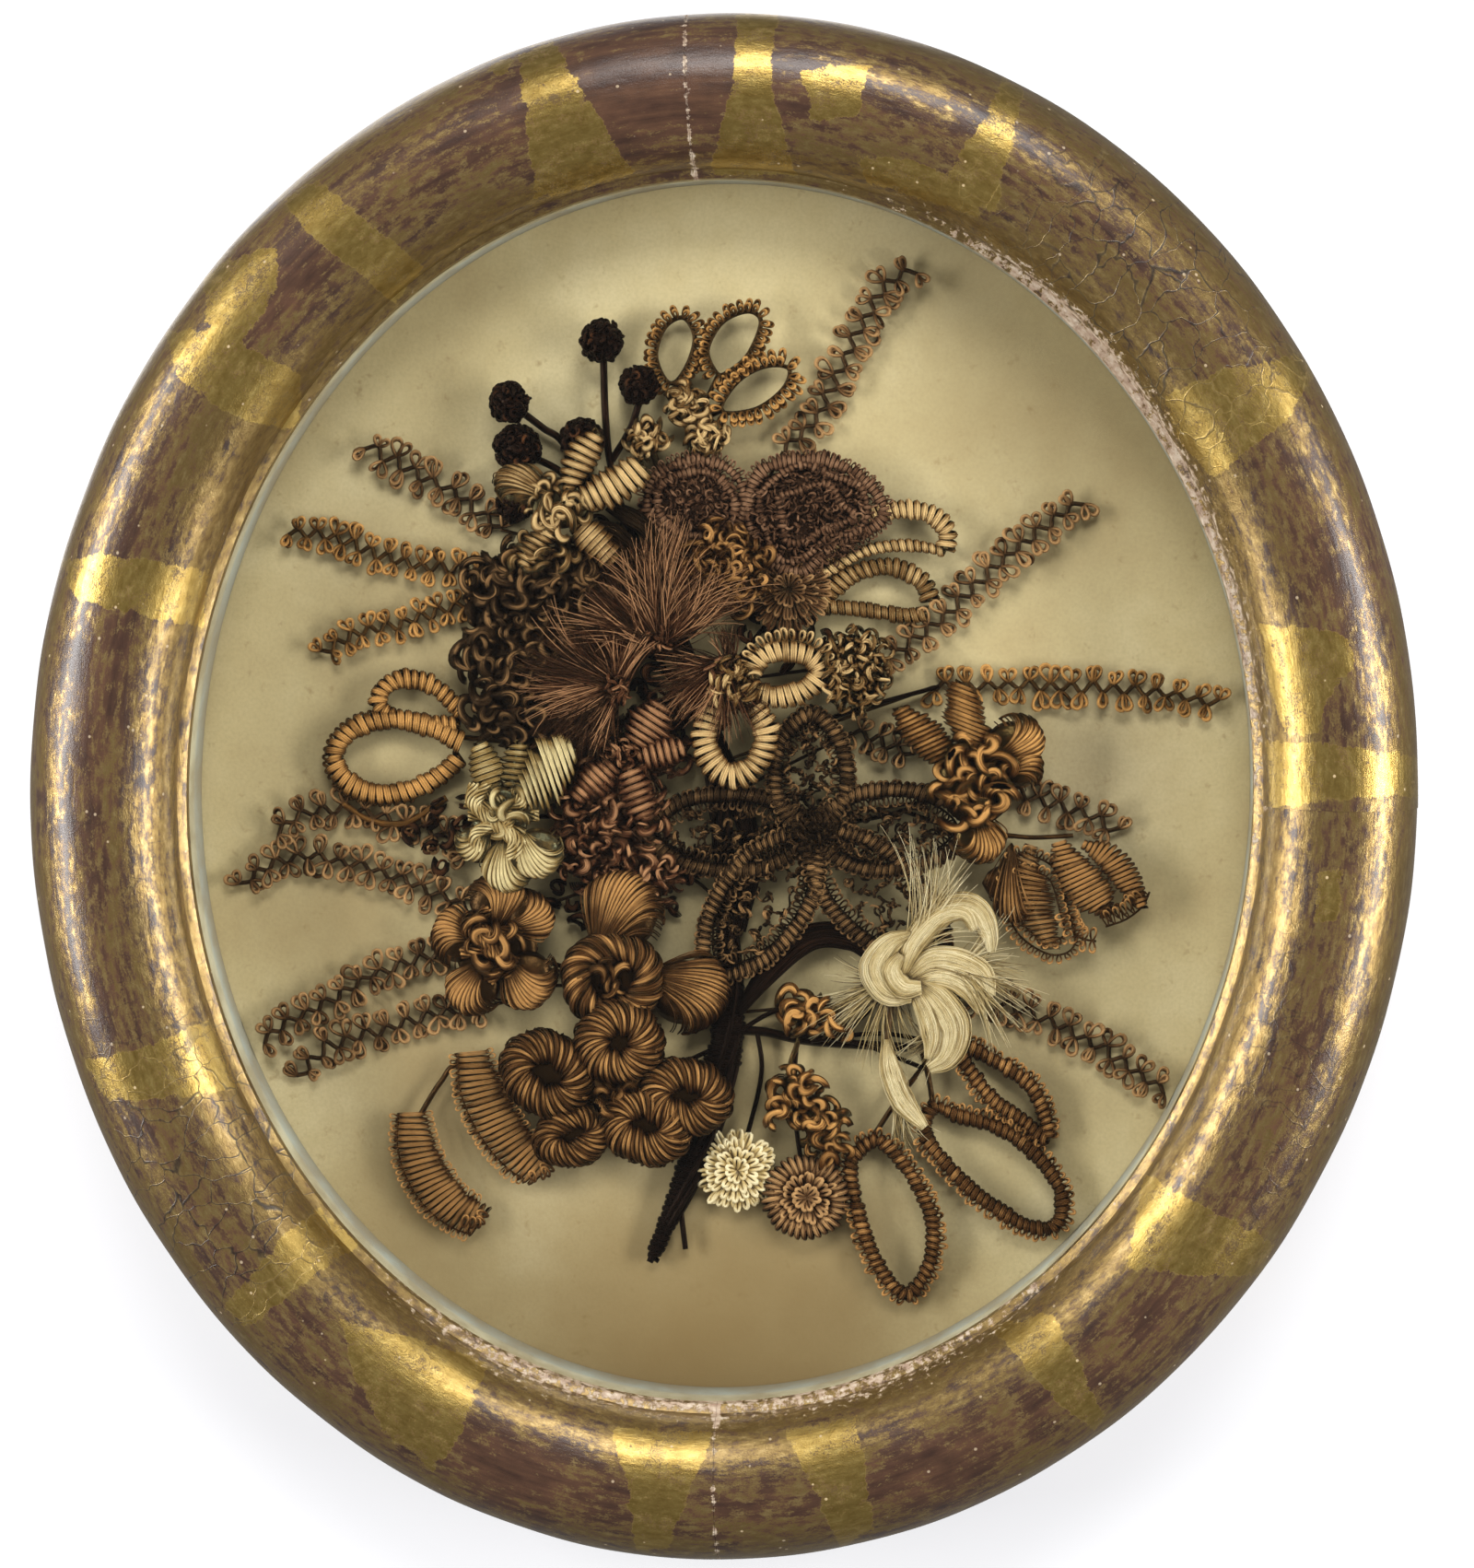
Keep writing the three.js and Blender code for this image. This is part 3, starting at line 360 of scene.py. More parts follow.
def curls(h, centres, size, radius, turns, tint, spread=0.35, face=0.35, hairs=3):
    """Short curled locks, each an arc of about a turn in a plane of its own."""
    centres = np.asarray(centres, float)
    taper = np.array([0.55, 0.8, 0.95] + [1] * 7 + [0.95, 0.75, 0.4])
    k, n = len(centres), len(taper)
    size = np.broadcast_to(size, (k,)) * (1 + rng.normal(0, 0.18, k))
    normal = unit(np.column_stack([rng.normal(0, 1, k), rng.normal(0, 1, k),
                                   np.abs(rng.normal(face, 0.6, k))]))
    e1 = unit(np.cross(normal, rng.normal(0, 1, (k, 3))))
    e2 = np.cross(normal, e1)
    turn = np.linspace(0, 2 * np.pi, n)[None] * turns * (1 + rng.normal(0, 0.15, k))[:, None]
    grow = size[:, None] * np.linspace(1, 1 - spread, n)
    path = (centres[:, None] + (grow * np.cos(turn))[..., None] * e1[:, None]
            + (grow * np.sin(turn))[..., None] * e2[:, None]
            + normal[:, None] * np.linspace(-0.5, 0.5, n)[None, :, None] * radius * 1.5)
    tone = rng.uniform(*tint, k)[:, None] * np.interp(np.linspace(0, 1, n), [0, 0.5, 1], [0.8, 1.05, 0.7])
    away_from = np.cos(turn)[..., None] * e1[:, None] + np.sin(turn)[..., None] * e2[:, None]
    for j in range(hairs):
        a = 2 * np.pi * (j / hairs + np.linspace(0, 0.8, n))[None, :, None] + rng.random((k, 1, 1)) * 6
        beside = (path + (np.cos(a) * away_from + np.sin(a) * normal[:, None])
                  * (radius * 0.5 * taper)[:, None])
        h.strands(beside, radius * taper * 1.75 / (hairs + 0.4), tone + rng.normal(0, 0.12, k)[:, None], 4)


def ringlets(h, centres, size, tint, hairs=6, lift=0.45, squash=0.72):
    """Curled locks: bands of parallel hairs that bend round in a C and rise in the middle."""
    centres = np.asarray(centres, float)
    k = len(centres)
    size = size * (1 + rng.normal(0, 0.18, k))[:, None]
    s = np.linspace(0, 1, 15)
    turn = rng.uniform(0, 2 * np.pi, (k, 1)) + rng.uniform(3.2, 5.2, (k, 1)) * rng.choice([-1, 1], (k, 1)) * s
    tip = rng.uniform(0, np.pi, (k, 1))
    bright = rng.uniform(0.55, 1.1, (k, 1))
    slope = rng.normal(0, 0.35, (2, k, 1))
    for u in np.linspace(-1, 1, hairs):
        ring = size * (0.7 + 0.27 * u) * (1 - 0.25 * s)
        x, y = ring * np.cos(turn), ring * squash * np.sin(turn)
        rise = (size * lift * np.sin(np.pi * s) ** 0.7 * math.sqrt(1 - 0.8 * u * u) + slope[0] * x
                + slope[1] * y)
        path = centres[:, None] + np.stack([x * np.cos(tip) - y * np.sin(tip),
                                            x * np.sin(tip) + y * np.cos(tip), rise], -1)
        # Painted highlight: each ringlet is lightest where it rises in its middle and on its middle hairs,
        # darker at its ends and edges
        tone = (tint[0] + (tint[1] - tint[0]) * bright * np.sin(np.pi * s) ** 0.9 * (1 - 0.75 * u * u)
                + rng.normal(0, 0.17, (k, 1)))
        h.strands(path, 0.33 * size / hairs * np.interp(s, [0, 0.2, 0.85, 1], [0.7, 1, 1, 0.4]), tone, 4)


def scatter(centre, spread, count, height, dome):
    """Points over a disc or dome: golden-angle spiral with a little noise."""
    i = np.arange(count) + 0.5
    rho = np.sqrt(i / count)
    turn = i * GOLDEN_ANGLE
    wide, tall = spread if isinstance(spread, tuple) else (spread, spread)
    p = np.column_stack([centre[0] + wide * rho * np.cos(turn), centre[1] + tall * rho * np.sin(turn),
                         height + dome * (1 - rho ** 2)])
    return p + rng.normal(0, 0.04 * (wide + tall) / 2, p.shape)


def blob(h, centre, size, height, tint):
    """A low mound under a cluster, so that nothing is seen through it; its dark tint is painted shade in the
    depth of the cluster.
    """
    wide, tall, high = size
    steps = np.linspace(-1, 1, 13)
    path = np.column_stack([centre[0] + wide * steps, np.full(len(steps), centre[1], float),
                            np.full(len(steps), height, float)])
    r = np.sqrt(np.maximum(0.0025, 1 - steps ** 2)) * tall
    h.strands(path, r, tint, 8, ref=(0, 0, 1), flatness=high / tall)


def mound(h, centre, spread, high):
    """The dark mound under a mass of curls: painted shade in the depth of the curls."""
    blob(h, centre, (spread[0] * 0.85, spread[1] * 0.85, high), 15, 0.0)


def radial(h, centre, rings, height, radius, tint, width):
    """Rings of loops that stand out from a centre like a daisy's florets: (inner, outer, rise, count)."""
    turn = np.linspace(0, 2 * np.pi, 15)
    for inner, outer, rise, count in rings:
        heading = 2 * np.pi * (np.arange(count) + rng.random()) / count + rng.normal(0, 0.06, count)
        out = np.column_stack([np.cos(heading), np.sin(heading), np.zeros(count)])
        cross = np.column_stack([-np.sin(heading), np.cos(heading), rng.normal(0, 0.4, count)])
        reach = (outer - inner) * (1 + rng.normal(0, 0.08, count))
        far = reach[:, None] * (1 - np.cos(turn)) / 2
        wide = width * np.sin(turn) * (0.4 + 0.6 * np.sin(turn / 2) ** 2)
        path = (np.array([*centre, height]) + out[:, None] * (inner + far)[..., None]
                + cross[:, None] * np.broadcast_to(wide, far.shape)[..., None])
        path[..., 2] += rise * (far / max(reach.mean(), 1)) + rng.normal(0, 0.8, count)[:, None]
        # Painted light and shade: each loop darkens towards the centre and lightens towards its tip
        tone = tint[0] + (tint[1] - tint[0]) * (1 - np.cos(turn)) / 2 + rng.normal(0, 0.08, count)[:, None]
        h.strands(path, radius, tone, 6)


def fan(h, root, heading, spread, length, count, height, rise, bend, radius, tint,
        droop=0.0, root_spread=4.0):
    """Loose hairs that spring from a root in small locks: heading and spread in degrees, length in px."""
    locks = max(4, count // 12)
    which = rng.integers(0, locks, count)
    aim = np.radians(heading + spread * rng.normal(0, 0.5, locks)[which] + rng.normal(0, 5, count))
    reach = length * rng.uniform(0.6, 1.05, locks)[which] * rng.uniform(0.75, 1.08, count)
    curve = np.radians(bend + rng.normal(0, 30, locks)[which] + rng.normal(0, 10, count))
    s = np.linspace(0, 1, 10)
    turn = aim[:, None] + curve[:, None] * s
    step = reach[:, None] / (len(s) - 1)
    dx = np.concatenate([np.zeros((count, 1)), np.cumsum(np.cos(turn[:, 1:]) * step, 1)], 1)
    dy = np.concatenate([np.zeros((count, 1)), np.cumsum(-np.sin(turn[:, 1:]) * step, 1)], 1)
    start = rng.normal(0, root_spread, (count, 2))
    path = np.stack([root[0] + start[:, :1] + dx, root[1] + start[:, 1:] + dy,
                     height + rng.normal(0, 2.5, (count, 1))
                     + rise * rng.uniform(0.2, 1, (locks, 1))[which] * np.sin(s * 2.2) - droop * s ** 2], -1)
    # Painted shade: the hairs are darker at the root, where they crowd, and lighter towards the tips
    tone = ((rng.uniform(*tint, locks)[which] + rng.normal(0, 0.1, count))[:, None]
            * np.interp(s, [0, 0.35, 1], [0.35, 0.9, 1.4]))
    h.strands(path, radius * np.interp(s, [0, 0.6, 1], [1.2, 1, 0.4]), tone, 4)


def lock(h, route, height, widths, high, count, tint, body, stray=1.0):
    """A smooth lock of hair: a soft body with single hairs laid along it."""
    line = smooth(flat(route, height), False, 5.0)
    side = side_of(line, False)[1]
    wide = along(line, widths)
    tall = np.minimum(along(line, np.asarray(high, float)), wide)
    # The body is drawn darker than the hairs laid over it: painted shade between them
    h.strands(line, wide * 0.86, body, 8, ref=(0, 0, 1), flatness=float(np.mean(tall / np.maximum(wide, 1))))
    turn = rng.uniform(-0.15 * np.pi, 1.15 * np.pi, count)
    drift = rng.normal(0, 0.35, count)
    s = np.linspace(0, 1, len(line))
    a = turn[:, None] + drift[:, None] * s
    path = (line[None] + side[None]
            * (wide * np.cos(a) * (1 + stray * 0.12 * rng.normal(0, 1, (count, 1)) * s))[..., None])
    path[..., 2] += tall * np.sin(a) * 1.02
    # Darker towards the root of the lock: partly the hair's colour, partly painted shade where the hairs
    # gather
    tone = rng.uniform(*tint, count)[:, None] * np.interp(s, [0, 0.25, 1], [0.45, 1, 1])
    h.strands(path, 0.6, tone, 4)


def wound_ball(h, centre, radius, height, tint=(0.0, 0.75), size=4.6):
    """A berry: small coils of hair wound row by row over a core."""
    blob(h, centre, (radius * 0.8, radius * 0.8, radius * 0.8), height, 0.0)
    rows = []
    for level, share in enumerate(np.linspace(-0.3, 1, 7)):
        reach = radius * 0.88 * math.sqrt(max(0.0, 1 - share * share))
        count = max(1, round(2 * math.pi * reach / (size * 1.9)))
        turn = 2 * np.pi * (np.arange(count) + 0.5 * (level % 2)) / count
        rows.append(np.column_stack([centre[0] + reach * np.cos(turn), centre[1] + reach * np.sin(turn),
                                     np.full(count, height + radius * 0.88 * share)]))
    curls(h, np.vstack(rows), size, 2.4, 0.9, tint, 0.4, 1.2, 2)


def wire(h, route, height, radius, tint):
    """A round wire along a route."""
    h.strands(smooth(flat(route, height), False, 3.0), radius, tint, 6, ref=(0, 0, 1))


def stalk(h, centre, top, foot=8.0):
    """A wire that stands on a branch and carries a flower."""
    h.strands(np.array([[*centre, w] for w in np.linspace(top, foot, 5)]), 2.6, 0.05, 6, ref=(0, 1, 0))


def inside(points, outline):
    """How far points lie inside an outline, in px, and below zero outside it."""
    o = np.asarray(outline, float)
    q = np.roll(o, -1, axis=0)
    odd = np.zeros(len(points), bool)
    gap = np.full(len(points), 1e9)
    for a, b in zip(o, q):
        run = b - a
        share = np.clip(((points - a) @ run) / (run @ run), 0, 1)
        gap = np.minimum(gap, np.linalg.norm(points - a - share[:, None] * run, axis=1))
        if a[1] != b[1]:
            odd ^= ((a[1] > points[:, 1]) != (b[1] > points[:, 1])) & (
                points[:, 0] < (b[0] - a[0]) * (points[:, 1] - a[1]) / (b[1] - a[1]) + a[0])
    return np.where(odd, gap, -gap)


def net(h, outline, height, count, tint, radius):
    """Ragged lace inside a petal: short curls joined by fine threads, with gaps between."""
    o = np.asarray(outline, float)
    low, high = o.min(0), o.max(0)
    points = []
    while len(points) < count:
        p = low + rng.random(2) * (high - low)
        if inside(p[None], o)[0] > 0:
            points.append(p)
    p = np.column_stack([points, height + rng.normal(0, 2.0, count)])
    gap = np.linalg.norm(p[:, None] - p[None], axis=2)
    for i in range(count):
        for j in np.argsort(gap[i])[1:4]:
            if j > i:
                mid = (p[i] + p[j]) / 2 + rng.normal(0, 2.2, 3)
                h.strands(smooth([p[i], mid, p[j]], False, 3.0), radius, rng.uniform(*tint), 4)
    some = p[rng.random(count) < 0.75]
    curls(h, some, 5.2, 2.2, 0.85, tint, hairs=3)


def puff(h, root, tip, width, height, lift, count, radius, tint, curl):
    """A puffed fan: hairs that leave a root, arch over a dome and tuck in at its rim."""
    a, b = np.array(root, float), np.array(tip, float)
    run = b - a
    cross = np.array([-run[1], run[0]]) / np.linalg.norm(run)
    t = np.linspace(0, 1, 15)
    for layer in (1.0, 0.8):
        s = np.linspace(-1, 1, count) * layer + rng.normal(0, 0.012, count)
        rib = (s + 1) / 2 * max(5, width / 6.2)
        groove = (2 * (rib - np.round(rib))) ** 2
        far = ((0.52 + 0.48 * np.sqrt(np.maximum(0, 1 - s ** 2))) * (1 + rng.normal(0, 0.02, count))
               * (1 - 0.04 * groove))
        bulge = np.sin(np.pi * np.minimum(1, t * 0.9) / 2) ** 0.8
        path = np.empty((count, len(t), 3))
        path[..., :2] = (a + run * (far[:, None] * np.sin(np.pi * t * 0.56) / np.sin(np.pi * 0.5))[..., None]
                         + cross * (width / 2 * s[:, None] * bulge
                                    + curl * width * np.sin(np.pi * t))[..., None])
        path[..., 2] = (height + lift * layer * np.sin(np.pi * t ** 0.8 * 0.94) ** 0.75
                        * np.sqrt(1 - 0.7 * s[:, None] ** 2))
        path[..., 2] -= 3.0 * groove[:, None] * np.sin(np.pi * t) + 0.3 * lift * t ** 6
        # Painted highlight and shade: each hair is lightest over the crest of the dome and darkest in the
        # grooves between ribs
        tone = (tint[0] + (tint[1] - tint[0]) * np.sin(np.pi * t) ** 2.0 * (1 - 0.45 * s[:, None] ** 2)
                - 0.75 * groove[:, None] + 0.12)
        h.strands(path, radius, tone + rng.normal(0, 0.13, count)[:, None], 4)
        if layer == 1.0:
            rim = path[np.argsort(s), -1]
            rim = np.array([rim[k:k + 6].mean(0) for k in range(0, count - 5, 5)])
            h.strands(smooth(rim), 1.5, 0.25, 6, ref=(0, 0, 1))
    middle = a + run * 0.5
    blob(h, middle, (np.linalg.norm(run) * 0.4, width * 0.38, lift * 0.7), height, 0.05)


def rope(h, route, height, radius, pitch, tint, strands, closed, hairs, squash=0.7):
    """Locks twisted round one another along a route; pitch is the length of one full twist."""
    line = smooth(flat(route, height), closed, 2.0)
    side = side_of(line, closed)[1]
    total = strides(line).sum()
    twists = max(1, round(total / pitch))
    share = np.linspace(0, 1, len(line))
    for k in range(strands * hairs):
        turn = 2 * np.pi * (twists * share + k / (strands * hairs))
        aside = (k % hairs) - (hairs - 1) / 2
        r = radius * (1 - 0.06 * aside ** 2) * (1 + 0.12 * np.sin(share * 2 * np.pi * 2 + k // hairs * 1.7))
        path = line + side * (r * np.cos(turn))[:, None]
        path[:, 2] += r * squash * np.sin(turn)
        # Painted sheen at the top of each twist and painted shade in the grooves between hairs; the dark core
        # below fills the gaps with painted shade
        sheen = (0.5 + 0.5 * np.sin(turn)) ** 2 * (0.75 + 0.25 * np.sin(share * 40 + k))
        tone = tint[0] + (tint[1] - tint[0]) * sheen - 0.2 * aside ** 2 + rng.normal(0, 0.08)
        h.strands(path, 2.1 * radius / (strands * hairs), tone, 4, ref=(0, 0, 1))
    h.strands(line, radius * 0.72, 0.0, 8, ref=(0, 0, 1), flatness=squash)


def knot(h, ends, heights, swing, radius, tint):
    """Locks that cross one another in a flower's middle, each from end to end in an S."""
    for k, (x0, y0, x1, y1) in enumerate(ends):
        bow = swing() * (-1) ** k
        route = [(x0, y0), (0.7 * x0 + 0.3 * x1 + bow, 0.7 * y0 + 0.3 * y1),
                 (0.3 * x0 + 0.7 * x1 - bow, 0.3 * y0 + 0.7 * y1), (x1, y1)]
        rope(h, np.column_stack([route, heights]), None, radius, 60, tint, 4, False, 2)


def beads(h, route, height):
    """Small knots along a closed wire."""
    curls(h, smooth(flat(route, height), True, 6.0), 2.2, 1.7, 0.9, (0.0, 0.35), 0.2, 1.0, 2)


def petal_outline(centre, tip, width):
    """A rounded petal's outline, from a flower's centre to its tip and back."""
    a, b = np.array(centre, float), np.array(tip, float)
    run = b - a
    cross = np.array([-run[1], run[0]]) / np.linalg.norm(run) * width / 2
    return [a + run * s + cross * w for s, w in
            ((0, 0), (0.22, 0.8), (0.5, 1), (0.8, 0.75), (1, 0), (0.8, -0.75), (0.5, -1), (0.22, -0.8))]


def shell(h, base, tip, width, heights, bow=0.0, **more):
    """A puffed petal: hair wound round a leaf-shaped body from its base to its tip."""
    a, b = np.array(base, float), np.array(tip, float)
    run = b - a
    cross = np.array([-run[1], run[0]]) / np.linalg.norm(run)
    route = np.array([a + run * s + cross * bow * math.sin(math.pi * s) for s in np.linspace(0, 1, 5)])
    profile = np.sin(np.pi * np.linspace(0.06, 0.94, 9)) ** 0.6
    winding(h, route, heights, profile * width / 2, profile * (width * 0.3), **more)


# Materials

def srgb(*c):
    """A colour as linear values, from sRGB values of 0 to 255."""
    return tuple((v / 255 / 12.92) if v < 11 else ((v / 255 + 0.055) / 1.055) ** 2.4 for v in c) + (1.0,)


def add(tree, kind, inputs=None, **settings):
    """A shader node with its inputs linked or set."""
    n = tree.nodes.new("ShaderNode" + kind)
    for key, value in settings.items():
        setattr(n, key, value)
    for key, value in (inputs or {}).items():
        if isinstance(value, bpy.types.NodeSocket):
            tree.links.new(value, n.inputs[key])
        else:
            n.inputs[key].default_value = value
    return n


def start(name, **values):
    """A material, its node tree and its shader."""
    m = bpy.data.materials.new(name)
    m.use_nodes = True
    shader = m.node_tree.nodes["Principled BSDF"]
    for key, value in values.items():
        shader.inputs[key.replace("_", " ")].default_value = value
    return m, m.node_tree, shader


def ramp(tree, factor, stops):
    """Colours or grey values between the stops of a factor."""
    n = add(tree, "ValToRGB", {"Fac": factor})
    while len(n.color_ramp.elements) < len(stops):
        n.color_ramp.elements.new(0.5)
    for element, (at, colour) in zip(n.color_ramp.elements, stops):
        element.position = at
        element.color = colour if isinstance(colour, tuple) else (colour, colour, colour, 1)
    return n.outputs["Color"]


def mathn(tree, op, a, b, c=0.0, clamp=False):
    """The result of a Math node."""
    return add(tree, "Math", {0: a, 1: b, 2: c}, operation=op, use_clamp=clamp).outputs[0]


def mix(tree, factor, a, b, blend="MIX"):
    """One colour laid over another."""
    return add(tree, "MixRGB", {"Fac": factor, "Color1": a, "Color2": b}, blend_type=blend).outputs["Color"]


def noise(tree, vector, scale, detail, rough=0.55, stretch=None):
    """Fractal noise, also one that is stretched along its axes."""
    if stretch:
        vector = add(tree, "Mapping", {"Vector": vector, "Scale": stretch}).outputs["Vector"]
    return add(tree, "TexNoise",
               {"Vector": vector, "Scale": scale, "Detail": detail, "Roughness": rough}).outputs["Fac"]


def feed(tree, shader, **sources):
    """Links results to the shader's inputs."""
    for name, source in sources.items():
        tree.links.new(source, shader.inputs[name.replace("_", " ")])


def bump(tree, shader, height, strength, distance):
    """Fine relief from a height."""
    n = add(tree, "Bump", {"Height": height, "Strength": strength, "Distance": distance})
    feed(tree, shader, Normal=n.outputs["Normal"])


def hair(name, dark, mid, light, rough=0.36):
    """Hair whose colour runs from dark to light with the tint of its mesh, which carries the painted sheen
    and shade of each shape, with fine lines along it.
    """
    shine = srgb(*(min(255, int(c * 1.25)) for c in light))
    m, tree, shader = start(name, Roughness=rough, Specular_IOR_Level=0.5, Specular_Tint=shine)
    uv = add(tree, "UVMap", uv_map="UVMap").outputs["UV"]
    spot = add(tree, "TexCoord").outputs["Object"]
    strands = noise(tree, uv, 1.0, 3.0, 0.65, (0.05, 6.0, 1.0))
    patches = noise(tree, spot, 260.0, 2.0)
    tint = add(tree, "Attribute", attribute_name="tint").outputs["Fac"]
    tone = mathn(tree, "MULTIPLY_ADD", strands, 0.9, mathn(tree, "MULTIPLY_ADD", patches, 0.4, tint))
    tone = mathn(tree, "SUBTRACT", tone, 0.68, clamp=True)
    colour = ramp(tree, tone, [(0.0, srgb(*dark)), (0.45, srgb(*mid)), (1.0, srgb(*light))])
    feed(tree, shader, Base_Color=colour)
    bump(tree, shader, strands, 0.8, 0.0006)
    return m


BROWN = hair("brown_hair", (10, 5, 2), (76, 45, 21), (204, 150, 90))
GOLDEN = hair("golden_hair", (13, 7, 3), (96, 55, 23), (224, 166, 98), 0.3)
OCHRE = hair("ochre_hair", (15, 9, 4), (101, 66, 31), (206, 152, 88), 0.4)
SPRIG = hair("sprig_hair", (9, 5, 3), (82, 54, 30), (180, 138, 92), 0.4)
DARK = hair("dark_hair", (3, 2, 1), (46, 31, 18), (158, 118, 76), 0.3)
BERRY = hair("berry_hair", (3, 2, 1), (26, 15, 10), (95, 57, 32), 0.4)
BLACK = hair("bound_wire", (3, 2, 1), (22, 13, 8), (76, 46, 26), 0.45)
BLOND = hair("blond_hair", (22, 12, 5), (112, 75, 37), (226, 188, 132), 0.34)
CREAM = hair("cream_hair", (36, 24, 10), (146, 113, 60), (236, 213, 160), 0.34)
WHITE = hair("white_hair", (80, 54, 24), (198, 168, 108), (248, 230, 188), 0.32)
MAUVE = hair("mauve_hair", (12, 6, 3), (84, 47, 28), (204, 150, 106), 0.32)
DUSKY = hair("dusky_hair", (32, 19, 13), (98, 66, 46), (166, 126, 96), 0.45)
GREYISH = hair("greyish_hair", (12, 8, 5), (87, 57, 34), (192, 148, 100), 0.45)

# The bouquet: the bound stem with its branches

# Height of the trunk over the paper
LOW = 11.0
BRANCHES = [
    [(740, 690), (700, 612), (680, 562)], [(690, 600), (655, 582), (612, 565)],
    [(694, 600), (735, 545), (750, 480)], [(738, 695), (792, 625), (850, 598)],
    [(770, 805), (790, 735), (830, 680), (858, 646)], [(745, 712), (670, 700), (595, 700)],
    [(787, 945), (650, 893), (545, 885)], [(789, 1085), (740, 1076), (664, 1062), (600, 1046), (531, 1026)],
    [(790, 1094), (730, 1082), (654, 1062)], [(789, 1132), (730, 1160), (670, 1200)],
    [(788, 960), (880, 905), (980, 880), (1062, 846)], [(980, 880), (1040, 900), (1100, 908)],
    [(789, 1118), (830, 1120), (880, 1130), (985, 1137)], [(900, 1131), (940, 1100), (975, 1055)],
    [(822, 1119), (826, 1170), (803, 1262)], [(865, 1127), (862, 1200), (875, 1295)],
]
h = Hair()
trunk = smooth(flat([(690, 590), (740, 700), (775, 830), (790, 1000), (790, 1130), (760, 1250), (705, 1370)],
                    LOW), False, 4)
girth = along(trunk, [5, 7, 10, 11, 11, 11, 12, 15, 17, 15, 10, 3])
h.strands(trunk, girth * 0.9, 0.1, 8, ref=(0, 0, 1), flatness=0.75)
tangent, side = side_of(trunk, False)
for k in range(7):
    turn = 2 * math.pi * k / 7 + np.linspace(0, 9, len(trunk))
    path = (trunk + side * (girth * 0.8 * np.cos(turn))[:, None]
            + np.array([0, 0, 1]) * (girth * 0.62 * np.sin(turn))[:, None])
    h.strands(path, np.minimum(3.4, girth * 0.4), rng.uniform(0.0, 0.35), 6, ref=(0, 0, 1))
winding(h, [(788, 1000), (790, 1070), (789, 1130), (764, 1220), (735, 1300), (708, 1366)], LOW,
        [12, 17, 19, 17, 12, 7], [8, 11, 12, 11, 8, 5], 6.5, tint=(-0.1, 0.25), core=None)
for route in BRANCHES:
    thick = 5.0 if route[0] in ((740, 690), (690, 600), (789, 1118)) else 2.6
    wire(h, route, LOW, thick, 0.15)
wire(h, [(740, 1270), (738, 1300), (744, 1356)], LOW, 3.0, 0.2)
lock(h, [(800, 1100), (838, 1052), (880, 1018), (925, 1020), (958, 1050)], 18, [5, 11, 13, 12, 5],
     [4, 5, 6, 5, 3], 60, (0.0, 0.7), 0.1)
lock(h, [(770, 780), (800, 860), (815, 930), (800, 1010)], LOW + 2, [6, 10, 11, 8], [5, 6, 6, 5], 60,
     (0.0, 0.5), 0.02)
for route in ([(880, 1130), (960, 1122), (1040, 1139)], [(865, 1124), (930, 1132), (1004, 1160)],
              [(800, 1120), (850, 1096), (905, 1112)], [(1020, 745), (915, 775), (835, 810), (800, 870)]):
    wire(h, route, LOW + 5, 2.6, 0.2)
for centre, spread, count in (((735, 760), (50, 60), 40), ((722, 640), (40, 60), 34),
                              ((700, 950), (60, 50), 36), ((640, 985), (50, 30), 20),
                              ((850, 690), (50, 40), 26), ((480, 900), (40, 40), 18),
                              ((655, 590), (40, 30), 18)):
    ringlets(h, scatter(centre, spread, count // 2, LOW - 2, 2), 14, (0.0, 1.5))
    curls(h, scatter(centre, spread, count // 2, LOW + 2, 2), 9, 3.0, 0.8, (0.0, 1.5))
h.piece(BLACK, "main_stem", "bound_stem")

